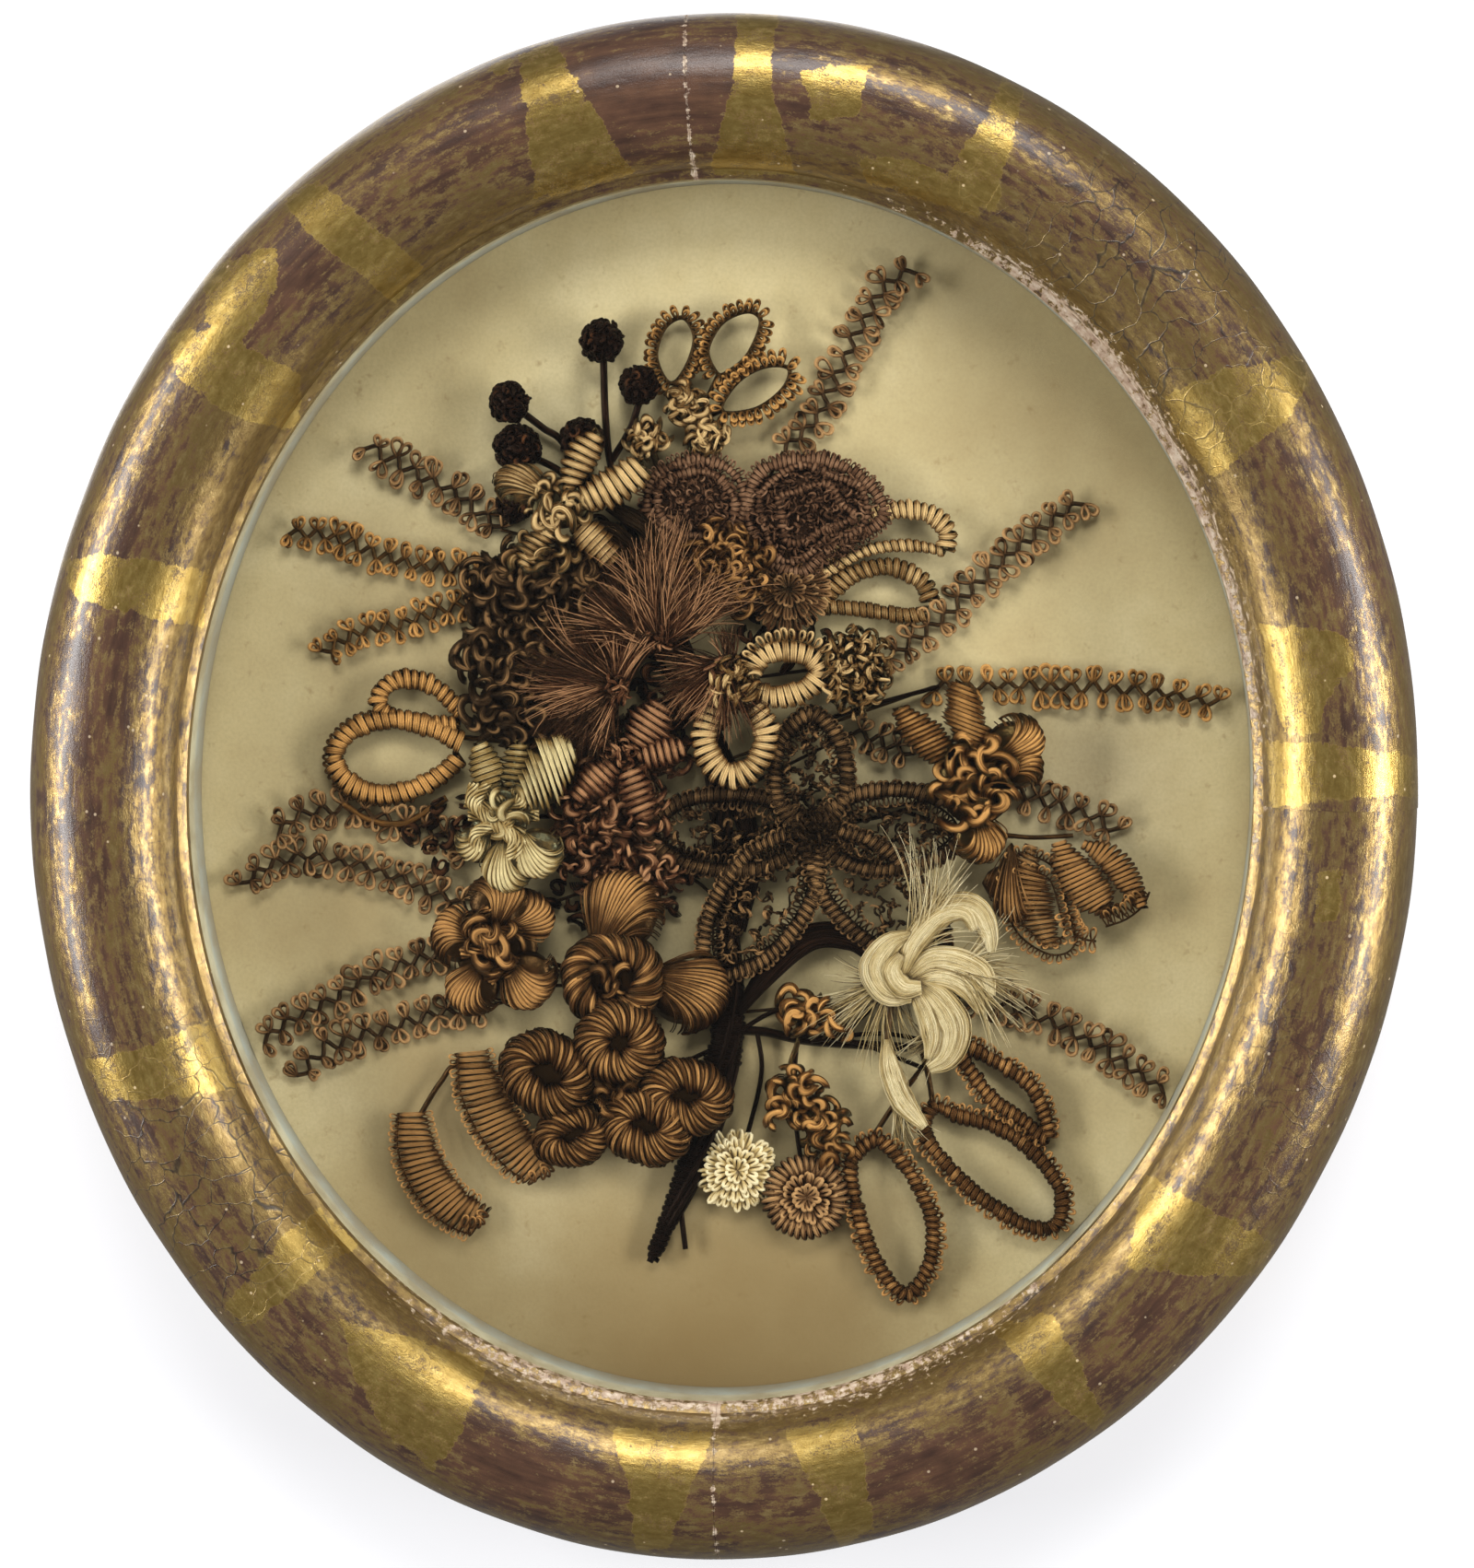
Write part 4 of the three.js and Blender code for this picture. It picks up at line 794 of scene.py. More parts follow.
SPRIGS = {
    "sprig_left_1": ([(700, 612)],
                     [(543, 575), (502, 542), (480, 526), (462, 520), (435, 503), (398, 483)], SPRIG),
    "sprig_left_2": ([(720, 655)],
                     [(536, 626), (505, 619), (455, 615), (406, 600), (364, 584), (314, 577)], OCHRE),
    "sprig_left_3": ([(733, 685)],
                     [(532, 653), (498, 657), (459, 668), (421, 680), (383, 688), (350, 709)], OCHRE),
    "sprig_left_4": ([(783, 925)],
                     [(515, 935), (498, 913), (459, 898), (421, 888), (385, 878), (345, 880), (318, 890),
                      (300, 903)], SPRIG),
    "sprig_left_5": ([(788, 985), (740, 950), (660, 960), (590, 982)],
                     [(520, 990), (470, 968), (430, 952), (370, 935), (330, 930), (290, 940), (262, 962)],
                     SPRIG),
    "sprig_left_6": ([(789, 1090), (730, 1080), (640, 1060), (560, 1046)],
                     [(478, 1035), (440, 1045), (400, 1060), (360, 1085), (320, 1105), (285, 1130)], SPRIG),
    "sprig_left_7": ([(789, 1098), (730, 1092), (660, 1076), (600, 1070), (560, 1084)],
                     [(530, 1092), (485, 1098), (440, 1110), (390, 1125), (350, 1140), (325, 1170)], SPRIG),
    "sprig_right_1": ([(738, 700)],
                      [(850, 490), (875, 465), (895, 440), (908, 410), (925, 375), (940, 345), (960, 310),
                       (993, 292)], SPRIG),
    "sprig_right_2": ([(752, 745)],
                      [(965, 715), (1000, 690), (1040, 655), (1080, 615), (1130, 575), (1175, 545)], SPRIG),
    "sprig_right_3": ([(775, 830)],
                      [(1015, 745), (1080, 745), (1150, 745), (1220, 748), (1280, 755), (1322, 765)], OCHRE),
    "sprig_right_4": ([(781, 868)], [(925, 795), (960, 805), (990, 822)], DARK),
    "sprig_right_5": ([(784, 905)], [(1095, 855), (1130, 870), (1165, 880), (1190, 890), (1213, 903)], SPRIG),
    "sprig_right_6": ([(790, 1100)],
                      [(1040, 1078), (1090, 1090), (1130, 1105), (1165, 1120), (1200, 1140), (1235, 1165),
                       (1265, 1185)], SPRIG),
}
for name, (stalk_px, route, material) in SPRIGS.items():
    h = Hair()
    slot = "dark_hair" if name == "sprig_right_4" else "brown_hair"
    big = 0.86 if name in ("sprig_right_4", "sprig_left_2", "sprig_left_3") else 1.0
    sprig(h, route, (6, 10), [[*stalk_px, route[0]]], 11.5 * big, 16 * big, 6.2 * big)
    h.piece(material, name)

# Berries of wound hair
h = Hair()
for centre, radius in (((653, 370), 22), ((694, 418), 20)):
    wound_ball(h, centre, radius, 24)
for route in ([(655, 390), (657, 450), (662, 500), (676, 555)], [(694, 436), (684, 466), (664, 500)]):
    wire(h, route, 14, 4.0, 0.25)
h.piece(BERRY, "berry_spray_top")
h = Hair()
for centre, radius in (((553, 437), 20), ((562, 487), 25), ((632, 478), 23), ((560, 545), 20)):
    wound_ball(h, centre, radius, 25)
for route in ([(566, 447), (590, 465), (612, 482), (640, 540)], [(580, 497), (608, 512), (640, 545)],
              [(636, 495), (640, 542)], [(570, 545), (644, 552)]):
    wire(h, route, 14, 4.0, 0.25)
h.piece(BERRY, "berry_spray_left")

# Open loops of gimp at the edges
h = Hair()
for route, tall in (([(722, 412), (712, 385), (722, 355), (742, 345), (754, 365), (748, 392),
                      (734, 414)], 14),
                    ([(778, 405), (768, 380), (784, 350), (812, 338), (826, 350), (812, 385),
                      (790, 404)], 18)):
    loops(h, route, tall, 13, 7.5, 2.3, True, tint=(0.05, 0.75), wire=2.6)
    loops(h, route, tall + 3, 8, 7.5, 2.0, True, tint=(0.1, 0.8), wire=0, rise=0.7)
route = [(783, 446), (800, 415), (830, 398), (856, 400), (850, 422), (820, 444)]
loops(h, route, 16, 15, 8.5, 2.8, True, tint=(0.2, 1.0), wire=2.4)
loops(h, route, 19, 9, 8.5, 2.4, True, tint=(0.3, 1.0), wire=0, rise=0.7)
for route in ([(752, 474), (758, 450), (733, 415)], [(757, 455), (779, 408)], [(756, 460), (786, 444)]):
    wire(h, route, 12, 2.6, 0.05)
h.piece(OCHRE, "loop_spray_top")

h = Hair()
winding(h, [(500, 772), (470, 744), (436, 737), (414, 750), (412, 768), (436, 782), (468, 786), (498, 788)],
        14, 10, 7, 8.5, tint=(0.1, 0.9))
loops(h, [(500, 768), (468, 736), (432, 728), (405, 748), (406, 774)], 12, 9, 8.5, 2.2,
      tint=(0.1, 0.7), wire=0)
winding(h, [(500, 806), (470, 790), (430, 781), (392, 787), (368, 806), (364, 830), (382, 852), (412, 862),
            (450, 856), (480, 840), (500, 822)],
        16, 11, 8, 8.5, tint=(0.15, 1.0))
loops(h, [(470, 780), (430, 770), (385, 776), (356, 802), (352, 834), (374, 864), (412, 875), (452, 870)], 13,
      9, 8.5, 2.2, tint=(0.1, 0.7), wire=0)
wire(h, [(372, 872), (400, 890), (440, 893), (485, 866)], 8, 4, 0.3)
wire(h, [(764, 826), (660, 815), (498, 800)], 10, 3, 0.1)
h.piece(OCHRE, "loop_pair_left")

h = Hair()
winding(h, [(893, 604), (925, 570), (965, 554), (1005, 556), (1028, 575), (1026, 596)], 18, 11, 5, 8,
        tint=(0.35, 0.95))
winding(h, [(895, 622), (940, 598), (985, 592), (1026, 598)], 14, 6, 4, 8, tint=(0.35, 0.9))
winding(h, [(893, 650), (925, 624), (965, 615), (1000, 630), (1010, 652)], 14, 11, 5, 8, tint=(0.1, 0.6))
winding(h, [(895, 658), (940, 662), (980, 668), (1006, 666)], 14, 8, 4, 8, tint=(0.1, 0.55))
for route in ([(862, 643), (885, 628), (900, 612)], [(870, 640), (905, 650)]):
    wire(h, route, 12, 3, 0.05)
h.piece(BLOND, "loop_pair_right")

h = Hair()
for route in ([(1035, 1131), (1071, 1147), (1114, 1174), (1132, 1205), (1136, 1235), (1110, 1215),
               (1075, 1190)],
              [(1013, 1202), (1038, 1211), (1071, 1220), (1102, 1235), (1130, 1260), (1150, 1290),
               (1152, 1318), (1140, 1333), (1114, 1330), (1083, 1312), (1053, 1290), (1022, 1257),
               (1004, 1229)],
              [(924, 1263), (931, 1312), (946, 1358), (967, 1393), (986, 1405), (997, 1393),
               (1010, 1367), (1012, 1327), (1001, 1297), (980, 1263), (952, 1238)]):
    winding(h, route, 14, 7.5, 5.5, 7.4, closed=True, tint=(0.2, 0.8), inner=0.35)
    beads(h, route, 15)
    loops(h, route, 12, 13, 7.4, 2.0, True, tint=(0.1, 0.85), wire=0, rise=0.2)
for route in ([(987, 1137), (1010, 1134), (1035, 1131)], [(1000, 1139), (1008, 1170), (1013, 1202)],
              [(1004, 1155), (970, 1200), (940, 1246)]):
    wire(h, route, 11, 3, 0.05)
h.piece(BROWN, "loop_spray_low")

# Flat leaves, their loops caught between two wires
h = Hair()
for route, half in (([(512, 1142), (520, 1180), (538, 1218), (562, 1250), (592, 1272)], 24),
                    ([(446, 1208), (452, 1250), (470, 1288), (496, 1314), (522, 1326)], 22)):
    wide = np.array([0.75, 1.1, 1.15, 1.1, 0.95]) * half
    winding(h, route, 13, wide, 3, 6.6, tint=(0.15, 1.15), core=None, jitter=0.06, hairs=4,
            radius=0.5, lean=0.16)
    line = smooth(flat(route, 15), False, 2)
    tangent, side = side_of(line, False)
    for s in (1, -1):
        edge = line + side * (s * 0.8 * along(line, wide))[:, None]
        loops(h, edge[::8, :2], 14, 9, 6.6, 1.1, sides=(s,), tint=(0.2, 1.1), wire=1.0 if s < 0 else 0,
              wire_tint=0.1)
loops(h, [(578, 1284), (598, 1276), (606, 1258)], 15, 12, 9, 2.0, tint=(0.2, 0.9), sides=(1,), wire=0)
loops(h, [(500, 1332), (522, 1332), (532, 1316)], 15, 11, 9, 2.0, tint=(0.2, 0.9), sides=(1,), wire=0)
wire(h, [(667, 1201), (560, 1172), (500, 1155), (478, 1175), (455, 1212)], 11, 3, 0.05)
h.piece(BROWN, "gimp_leaves")

h = Hair()
puff(h, (1098, 915), (1104, 1002), 56, 20, 7, 60, 0.55, (0.0, 0.7), 0.1)
route = [(1120, 918), (1116, 950), (1124, 990), (1142, 1030)]
winding(h, route, 21, [8, 22, 26, 20, 8], 4, 5.6, tint=(0.0, 0.9), core=None, jitter=0.12, hairs=3,
        radius=0.5, lean=0.3)
outline = [(1100, 930), (1092, 970), (1104, 1012), (1140, 1036), (1166, 1026), (1158, 985), (1142, 940)]
loops(h, outline, 20, 9, 7.5, 1.5, True, tint=(0.0, 0.9), wire=1.2, wire_tint=0.1)
loops(h, np.array(outline) * 0.7 + np.mean(outline, 0) * 0.3, 21, 8, 7.5, 1.4, True, tint=(0.0, 0.9),
      wire=1.0, wire_tint=0.1)
loops(h, [(1158, 990), (1170, 1016), (1190, 1022)], 20, 12, 9.0, 1.7, tint=(0.1, 1.0),
      sides=(1, -1), wire=1.3)
for route, wide, tall in (([(1150, 914), (1162, 940), (1182, 968), (1204, 994)], [8, 22, 26, 22, 8], 22),
                          ([(1176, 916), (1204, 930), (1224, 956), (1240, 986)], [5, 14, 17, 14, 6], 25)):
    winding(h, route, tall, wide, 6, 5.4, tint=(0.1, 1.15), core=None, jitter=0.06, radius=0.5,
            lean=0.22, hairs=4)
    wire(h, [(*p, tall) for p in route], None, 1.2, 0.1)
loops(h, [(1200, 1006), (1222, 998), (1240, 984), (1248, 968)], 24, 19, 8.0, 1.3, tint=(0.2, 1.1),
      sides=(1,), wire=1.2)
loops(h, [(1204, 1002), (1226, 990), (1244, 974)], 26, 13, 8.0, 1.3, tint=(0.2, 1.1), sides=(1,),
      wire=0, rise=0.7)
wire(h, [(1080, 905), (1120, 909), (1165, 907)], 26, 2.6, 0.05)
stalk(h, (1098, 908), 22)
h.piece(BROWN, "right_leaves")

# Buttons, buds and daisies
h = Hair()
for centre in ((745, 438), (768, 474), (702, 476)):
    blob(h, centre, (19, 19, 8), 17, 0.0)
    ringlets(h, scatter(centre, 20, 26, 19, 8), 11, (0.25, 1.5), 5)
    curls(h, scatter(centre, 18, 12, 26, 4), 7, 2.6, 0.8, (0.3, 1.2))
for route in ([(745, 450), (750, 490), (757, 520)], [(768, 486), (764, 520)],
              [(706, 486), (722, 520), (740, 540)]):
    wire(h, route, 12, 4, 0.0)
h.piece(BLOND, "button_spray")

h = Hair()
for centre, size, count in (((872, 1100), 24, 10), ((902, 1110), 18, 7), ((866, 1180), 24, 11),
                            ((888, 1215), 26, 13), ((902, 1242), 22, 9), ((850, 1204), 18, 6)):
    blob(h, centre, (size * 0.6, size * 0.6, 6), 15, 0.0)
    ringlets(h, scatter(centre, size, count, 16, 6), 16, (0.0, 1.3))
    ringlets(h, scatter(centre, size * 0.7, count // 2 + 1, 23, 4), 14, (0.2, 1.4))
wire(h, [(866, 1100), (866, 1130), (858, 1160), (872, 1190), (895, 1236)], 13, 3, 0.05)
h.piece(GOLDEN, "bud_spray")

for name, centre, rings, material, slot in (
        ("cream_daisy", (800, 1270), [(22, 43, -6, 34), (14, 34, 0, 26), (6, 24, 4, 18), (0, 13, 6, 10)],
         WHITE, "cream_hair"),
        ("grey_daisy", (875, 1300), [(22, 34, 2, 30), (10, 26, 5, 22), (0, 14, 7, 12)], GREYISH,
         "mauve_hair")):
    h = Hair()
    blob(h, centre, (30, 30, 5), 14, 0.0)
    radial(h, centre, rings, 20, 2.0, (0.1, 1.0), 3.4)
    if name == "grey_daisy":
        turn = np.linspace(0, 2 * np.pi, 14, endpoint=False)
        winding(h, np.column_stack([centre[0] + 37 * np.cos(turn), centre[1] + 36 * np.sin(turn)]), 19, 10, 6,
                6.5, closed=True, tint=(0.1, 0.8))
    stalk(h, centre, 16)
    h.piece(material, name)

# Flowers at the top and at the left
h = Hair()
shell(h, (626, 544), (700, 506), 46, (44, 49), pitch=9.5, tint=(0.1, 1.0), bow=4, hairs=4)
shell(h, (616, 532), (650, 470), 38, (44, 48), pitch=9.0, tint=(0.05, 0.9), bow=-4, hairs=4)
puff(h, (608, 548), (538, 520), 50, 38, 12, 80, 0.72, (0.0, 0.65), 0.2)
shell(h, (604, 560), (566, 616), 34, (38, 40), pitch=6.5, tint=(0.0, 0.8))
shell(h, (622, 562), (668, 612), 38, (38, 41), pitch=7.0, tint=(0.0, 0.9))
blob(h, (608, 546), (34, 28, 6), 42, 0.05)
ringlets(h, scatter((606, 548), (36, 30), 24, 42, 6), 16, (0.05, 1.3))
ringlets(h, scatter((590, 600), (34, 22), 12, 36, 4), 14, (0.0, 0.8))
stalk(h, (616, 566), 44)
h.piece(BLOND, "blond_flower")

# Purple leaves: a flat mass of fine curls inside bands of gimp
for node, mounds, heart, body, fill, bands, step, ragged, tints, foot in (
        ("purple_leaf_left", (((738, 548), (38, 34)), ((775, 560), (28, 34))),
         [(704, 560), (706, 528), (728, 507), (762, 500), (794, 512), (808, 545), (790, 580),
          (752, 590), (722, 582)],
         (47, 41, 6), ((50, 43), 260, 23, 4), ((1.0, 6.5), (0.78, 4.5)), 3, 4,
         ((0.15, 0.75), (0.1, 0.8), (0.1, 0.7)), (735, 545)),
        ("purple_leaf_right", (((850, 545), (44, 38)), ((898, 546), (46, 34)), ((868, 588), (34, 28))),
         [(818, 585), (812, 545), (826, 512), (862, 500), (905, 503), (944, 528), (960, 558),
          (935, 580), (902, 592), (872, 620), (840, 612)],
         (66, 52, 6), ((68, 54), 480, 23, 5), ((1.0, 7), (0.82, 4.5), (0.52, 4.5)), 2.5, 6,
         ((0.1, 0.75), (0.05, 0.75), (0.0, 0.65)), (848, 598))):
    h = Hair()
    for centre, spread in mounds:
        mound(h, centre, spread, 5)
    heart = np.array(heart, float)
    middle = heart.mean(0)
    blob(h, middle, body, 19, 0.3)
    curls(h, scatter(middle, *fill), 4.4, 1.3, 0.85, tints[0], hairs=2)
    for k, (share, half) in enumerate(bands):
        edge = heart * share + middle * (1 - share) + rng.uniform(-ragged, ragged, heart.shape) * (k > 0)
        winding(h, edge, 22 + step * k, half, 4, 5.2, closed=True, tint=tints[1], radius=0.7, hairs=4,
                jitter=0.25, lean=0.15)
    loops(h, heart, 20, 11, 5.2, 1.2, True, tint=tints[2], wire=0, rise=0.2)
    stalk(h, foot, 20)
    h.piece(DUSKY, node)

h = Hair()
blob(h, (856, 640), (34, 34, 6), 16, 0.02)
radial(h, (856, 640), [(26, 46, -4, 44), (14, 32, 0, 32), (4, 18, 3, 16)], 22, 1.5, (0.02, 0.7), 3.0)
stalk(h, (856, 649), 16)
h.piece(GREYISH, "dark_rosette")

h = Hair()
blob(h, (790, 618), (42, 46, 9), 28, 0.05)
ringlets(h, scatter((790, 618), (44, 50), 40, 31, 8), 15, (0.1, 1.45))
curls(h, scatter((790, 618), (42, 48), 40, 38, 6), 7, 2.6, 0.85, (0.3, 1.3))
stalk(h, (790, 622), 30)
h.piece(BROWN, "curl_dome")

# Bursts of loose hair
h = Hair()
for root, heading, spread, length, count, height in (
        ((716, 696), 94, 34, 126, 620, 44), ((722, 696), 52, 36, 102, 320, 43),
        ((704, 700), 142, 34, 104, 340, 42), ((668, 742), 172, 40, 116, 340, 40),
        ((672, 738), 100, 44, 76, 200, 40), ((668, 750), 226, 50, 92, 240, 38),
        ((784, 722), 262, 50, 84, 240, 40), ((784, 722), 200, 50, 80, 200, 39),
        ((790, 718), 78, 40, 48, 70, 40)):
    fan(h, root, heading, spread, length, count, height, 12, 0, 0.45, (-0.15, 1.05))
for centre in ((716, 692), (670, 750), (784, 728)):
    blob(h, centre, (14, 14, 6), 40, 0.05)
    curls(h, scatter(centre, 14, 18, 45, 4), 7, 2.4, 0.7, (0.1, 0.7))
stalk(h, (731, 681), 42, 12)
wire(h, [(716, 692), (690, 725), (668, 752)], 38, 2.6, 0.05)
wire(h, [(720, 696), (784, 728)], 38, 2.6, 0.05)
h.piece(MAUVE, "hair_tuft", "hair_tuft_brown")

h = Hair()
winding(h, [(778, 762), (764, 798), (774, 830), (797, 843), (822, 828), (832, 795), (818, 764)], 38, 14, 6,
        8.5, tint=(0.2, 1.0))
winding(h, [(812, 742), (822, 716), (850, 706), (882, 714), (890, 734), (868, 752), (835, 756)], 38, 12, 6,
        8.5, closed=True, tint=(0.2, 1.0))
loops(h, [(806, 740), (830, 702), (880, 700), (902, 736)], 40, 12, 8, 2.2, tint=(0.2, 0.95))
blob(h, (928, 728), (34, 36, 6), 30, 0.05)
curls(h, scatter((928, 728), (38, 44), 120, 34, 9), 7.5, 2.7, 0.8, (0.2, 1.0))
blob(h, (796, 742), (26, 20, 6), 38, 0.05)
curls(h, scatter((796, 742), (26, 24), 40, 42, 6), 9, 3.2, 0.8, (0.2, 1.0))
stalk(h, (790, 735), 38)
wire(h, [(880, 735), (928, 735)], 33, 3, 0.1)
h.piece(BLOND, "loop_petal_flower")

h = Hair()
for centre, spread, count in (((555, 640), (54, 46), 80), ((620, 640), (52, 44), 80),
                              ((560, 705), (60, 48), 100), ((625, 705), (52, 50), 90),
                              ((560, 770), (52, 44), 90), ((620, 770), (50, 44), 70),
                              ((600, 612), (60, 20), 40), ((690, 640), (24, 40), 30)):
    mound(h, centre, spread, 8)
    ringlets(h, scatter(centre, spread, count // 3, 18, 8), 20, (-0.1, 0.9), 9)
    ringlets(h, scatter(centre, spread, count // 4, 23, 8), 15, (-0.1, 1.0), 8, 0.6)
for route in ([(640, 570), (668, 580), (700, 612)], [(660, 548), (700, 572), (718, 604)],
              [(600, 600), (640, 606), (690, 628)]):
    lock(h, route, 26, [6, 10, 9, 5], [5, 7, 7, 4], 30, (0.0, 0.35), 0.02)
stalk(h, (597, 700), 18)
h.piece(DARK, "dark_curl_cluster")

h = Hair()
shell(h, (560, 868), (624, 812), 58, (36, 42), pitch=6.4, tint=(0.15, 1.1), hairs=4, lean=0.45)
puff(h, (562, 896), (604, 942), 54, 36, 14, 100, 0.72, (0.1, 1.1), 0.25)
puff(h, (548, 905), (560, 966), 52, 36, 14, 100, 0.72, (0.1, 1.05), 0.25)
puff(h, (530, 898), (498, 925), 40, 34, 10, 70, 0.72, (0.0, 0.85), -0.2)
shell(h, (536, 862), (520, 806), 36, (34, 38), pitch=6.5, tint=(0.05, 0.65))
shell(h, (556, 860), (566, 806), 34, (34, 38), pitch=6.5, tint=(0.0, 0.55))
blob(h, (543, 885), (32, 34, 6), 36, 0.3)
knot(h, ((505, 870, 570, 905), (515, 850, 560, 935), (512, 905, 575, 868), (530, 850, 545, 940),
         (508, 885, 585, 885), (520, 925, 560, 855), (525, 860, 580, 920)),
     (38, 44, 46, 40), lambda: rng.uniform(10, 18), 5.5, (0.3, 1.0))
ringlets(h, scatter((543, 885), 22, 8, 42, 4), 19, (0.1, 1.2), 8)
stalk(h, (545, 885), 36)
h.piece(CREAM, "cream_knot_flower")

h = Hair()
for centre, spread, count in (((645, 860), (46, 46), 150), ((645, 918), (46, 46), 150),
                              ((690, 880), (34, 50), 100), ((705, 815), (42, 34), 80),
                              ((704, 950), (38, 30), 80)):
    mound(h, centre, spread, 7)
    ringlets(h, scatter(centre, spread, count // 4, 17, 8), 15, (0.0, 1.0))
    curls(h, scatter(centre, spread, count // 3, 22, 8), 7.5, 2.4, 0.8, (0.0, 0.9), hairs=3)
for base, tip, width in (((682, 830), (700, 890), 38), ((670, 826), (622, 868), 38),
                         ((686, 812), (722, 764), 44), ((660, 812), (624, 776), 38),
                         ((692, 820), (745, 812), 36)):
    shell(h, base, tip, width, (30, 33), pitch=7.5, tint=(0.0, 0.85), hairs=4)
    loops(h, petal_outline(base, tip, width)[1:8], 30, 6, 7, 1.6, tint=(0.1, 0.7))
curls(h, scatter((672, 816), 14, 16, 36, 4), 7, 2.6, 0.8, (0.5, 1.0))
stalk(h, (650, 893), 18)
h.piece(MAUVE, "maroon_curls")

# Puffed and twisted flowers below
h = Hair()
for root, tip, width, tall in (((535, 1012), (534, 950), 62, 26), ((548, 1008), (592, 976), 56, 27),
                               ((522, 1022), (470, 1020), 62, 25), ((548, 1036), (598, 1078), 66, 26),
                               ((530, 1042), (508, 1100), 58, 24)):
    puff(h, root, tip, width, tall, 15, 110, 0.72, (0.0, 1.05), 0.24)
knot(h, ((500, 1000, 562, 1045), (512, 990, 548, 1062), (500, 1035, 566, 1008), (530, 985, 530, 1066)),
     (32, 38, 38, 32), lambda: 14, 6, (0.1, 1.0))
ringlets(h, scatter((534, 1024), 26, 11, 33, 5), 19, (0.0, 1.2), 8)
blob(h, (538, 1028), (46, 46, 6), 18, 0.0)
stalk(h, (531, 1026), 20)
h.piece(BROWN, "brown_flower")

h = Hair()
puff(h, (648, 1036), (702, 956), 92, 24, 19, 170, 0.72, (0.0, 1.0), -0.15)
puff(h, (700, 1058), (784, 1096), 92, 23, 19, 170, 0.72, (-0.05, 0.8), -0.15)
rope(h, [(626, 1062), (634, 1036), (664, 1026), (696, 1040), (704, 1066), (690, 1092), (660, 1100),
         (636, 1088)], 30, 16, 60, (-0.1, 0.95), 5, True, 4)
ringlets(h, scatter((664, 1064), 20, 9, 26, 5), 16, (0.0, 0.9), 7)
blob(h, (660, 1060), (40, 38, 6), 17, 0.0)
stalk(h, (654, 1062), 20)
h.piece(BROWN, "fan_flower")

h = Hair()
for centre, wide, tall, half, tip, w in (((672, 1132), 30, 28, 19, 0.2, 37),
                                         ((594, 1166), 36, 28, 18, 0.6, 33),
                                         ((744, 1190), 34, 24, 18, 0.2, 36),
                                         ((622, 1232), 30, 20, 15, -0.3, 30),
                                         ((700, 1222), 34, 24, 18, 0.4, 35)):
    turn = np.linspace(0, 2 * np.pi, 12, endpoint=False)
    x, y = wide * np.cos(turn), tall * np.sin(turn)
    route = np.column_stack([centre[0] + x * math.cos(tip) - y * math.sin(tip),
                             centre[1] + x * math.sin(tip) + y * math.cos(tip)])
    rope(h, route, w, half, 50, (-0.05, 0.95), 9, True, 4, 0.75)
    winding(h, route, w - 4, half * 1.02, half * 0.4, 5.2, closed=True, tint=(0.0, 0.8), lean=0.3, hairs=3,
            jitter=0.06, radius=0.8, core=None)
    blob(h, centre, (wide * 0.8, tall * 0.8, 5), w - 4, 0.0)
blob(h, (668, 1190), (66, 46, 6), 22, 0.0)
ringlets(h, scatter((672, 1190), 26, 12, 36, 4), 15, (0.0, 1.0), 7)
stalk(h, (670, 1200), 36)
h.piece(BROWN, "ring_flower")

# The dark lace flower: each petal a wound ring with ragged lace inside
h = Hair()
for tip, width, tone in (((880, 774), 80, 0.05), ((700, 902), 84, 0.0), ((1052, 896), 88, 0.0),
                         ((772, 1058), 92, 0.16), ((1022, 1040), 90, 0.08)):
    outline = petal_outline((880, 905), tip, width)
    winding(h, outline, 24, 8.0, 5, 7.2, closed=True, tint=(tone, 0.62 + tone))
    loops(h, outline, 25, 9, 7.5, 1.7, closed=True, tint=(0.05, 0.5 + tone), wire=0)
    inner = np.array(outline) * 0.84 + np.mean(outline, 0) * 0.16
    loops(h, inner, 22, 11, 8.0, 1.6, True, (-1,), (0.0, 0.6 + tone), 1.4)
    net(h, inner, 22, 84, (0.0, 0.85 + tone), 1.2)
curls(h, scatter((880, 905), 26, 40, 26, 4), 7, 2.4, 0.85, (0.0, 0.5))
stalk(h, (880, 905), 24)
h.piece(DARK, "lace_flower")

h = Hair()
shell(h, (1036, 834), (976, 768), 44, (34, 38), pitch=5.6, tint=(0.0, 0.65), hairs=4, lean=0.35)
shell(h, (1052, 815), (1046, 742), 50, (35, 39), pitch=5.2, tint=(0.05, 0.85), hairs=4, lean=0.5)
puff(h, (1074, 826), (1122, 782), 56, 34, 15, 90, 0.72, (0.05, 0.95), 0.25)
puff(h, (1084, 842), (1132, 830), 46, 34, 13, 70, 0.72, (0.0, 0.8), -0.2)
puff(h, (1056, 878), (1062, 936), 54, 34, 13, 90, 0.72, (0.05, 0.85), -0.25)
blob(h, (1060, 848), (42, 48, 9), 34, 0.0)
ringlets(h, scatter((1060, 850), (42, 52), 26, 35, 8), 23, (0.0, 1.15), 8)
ringlets(h, scatter((1060, 850), (36, 46), 15, 42, 7), 20, (0.1, 1.3), 8)
stalk(h, (1062, 843), 36)
h.piece(GOLDEN, "curly_flower_right")

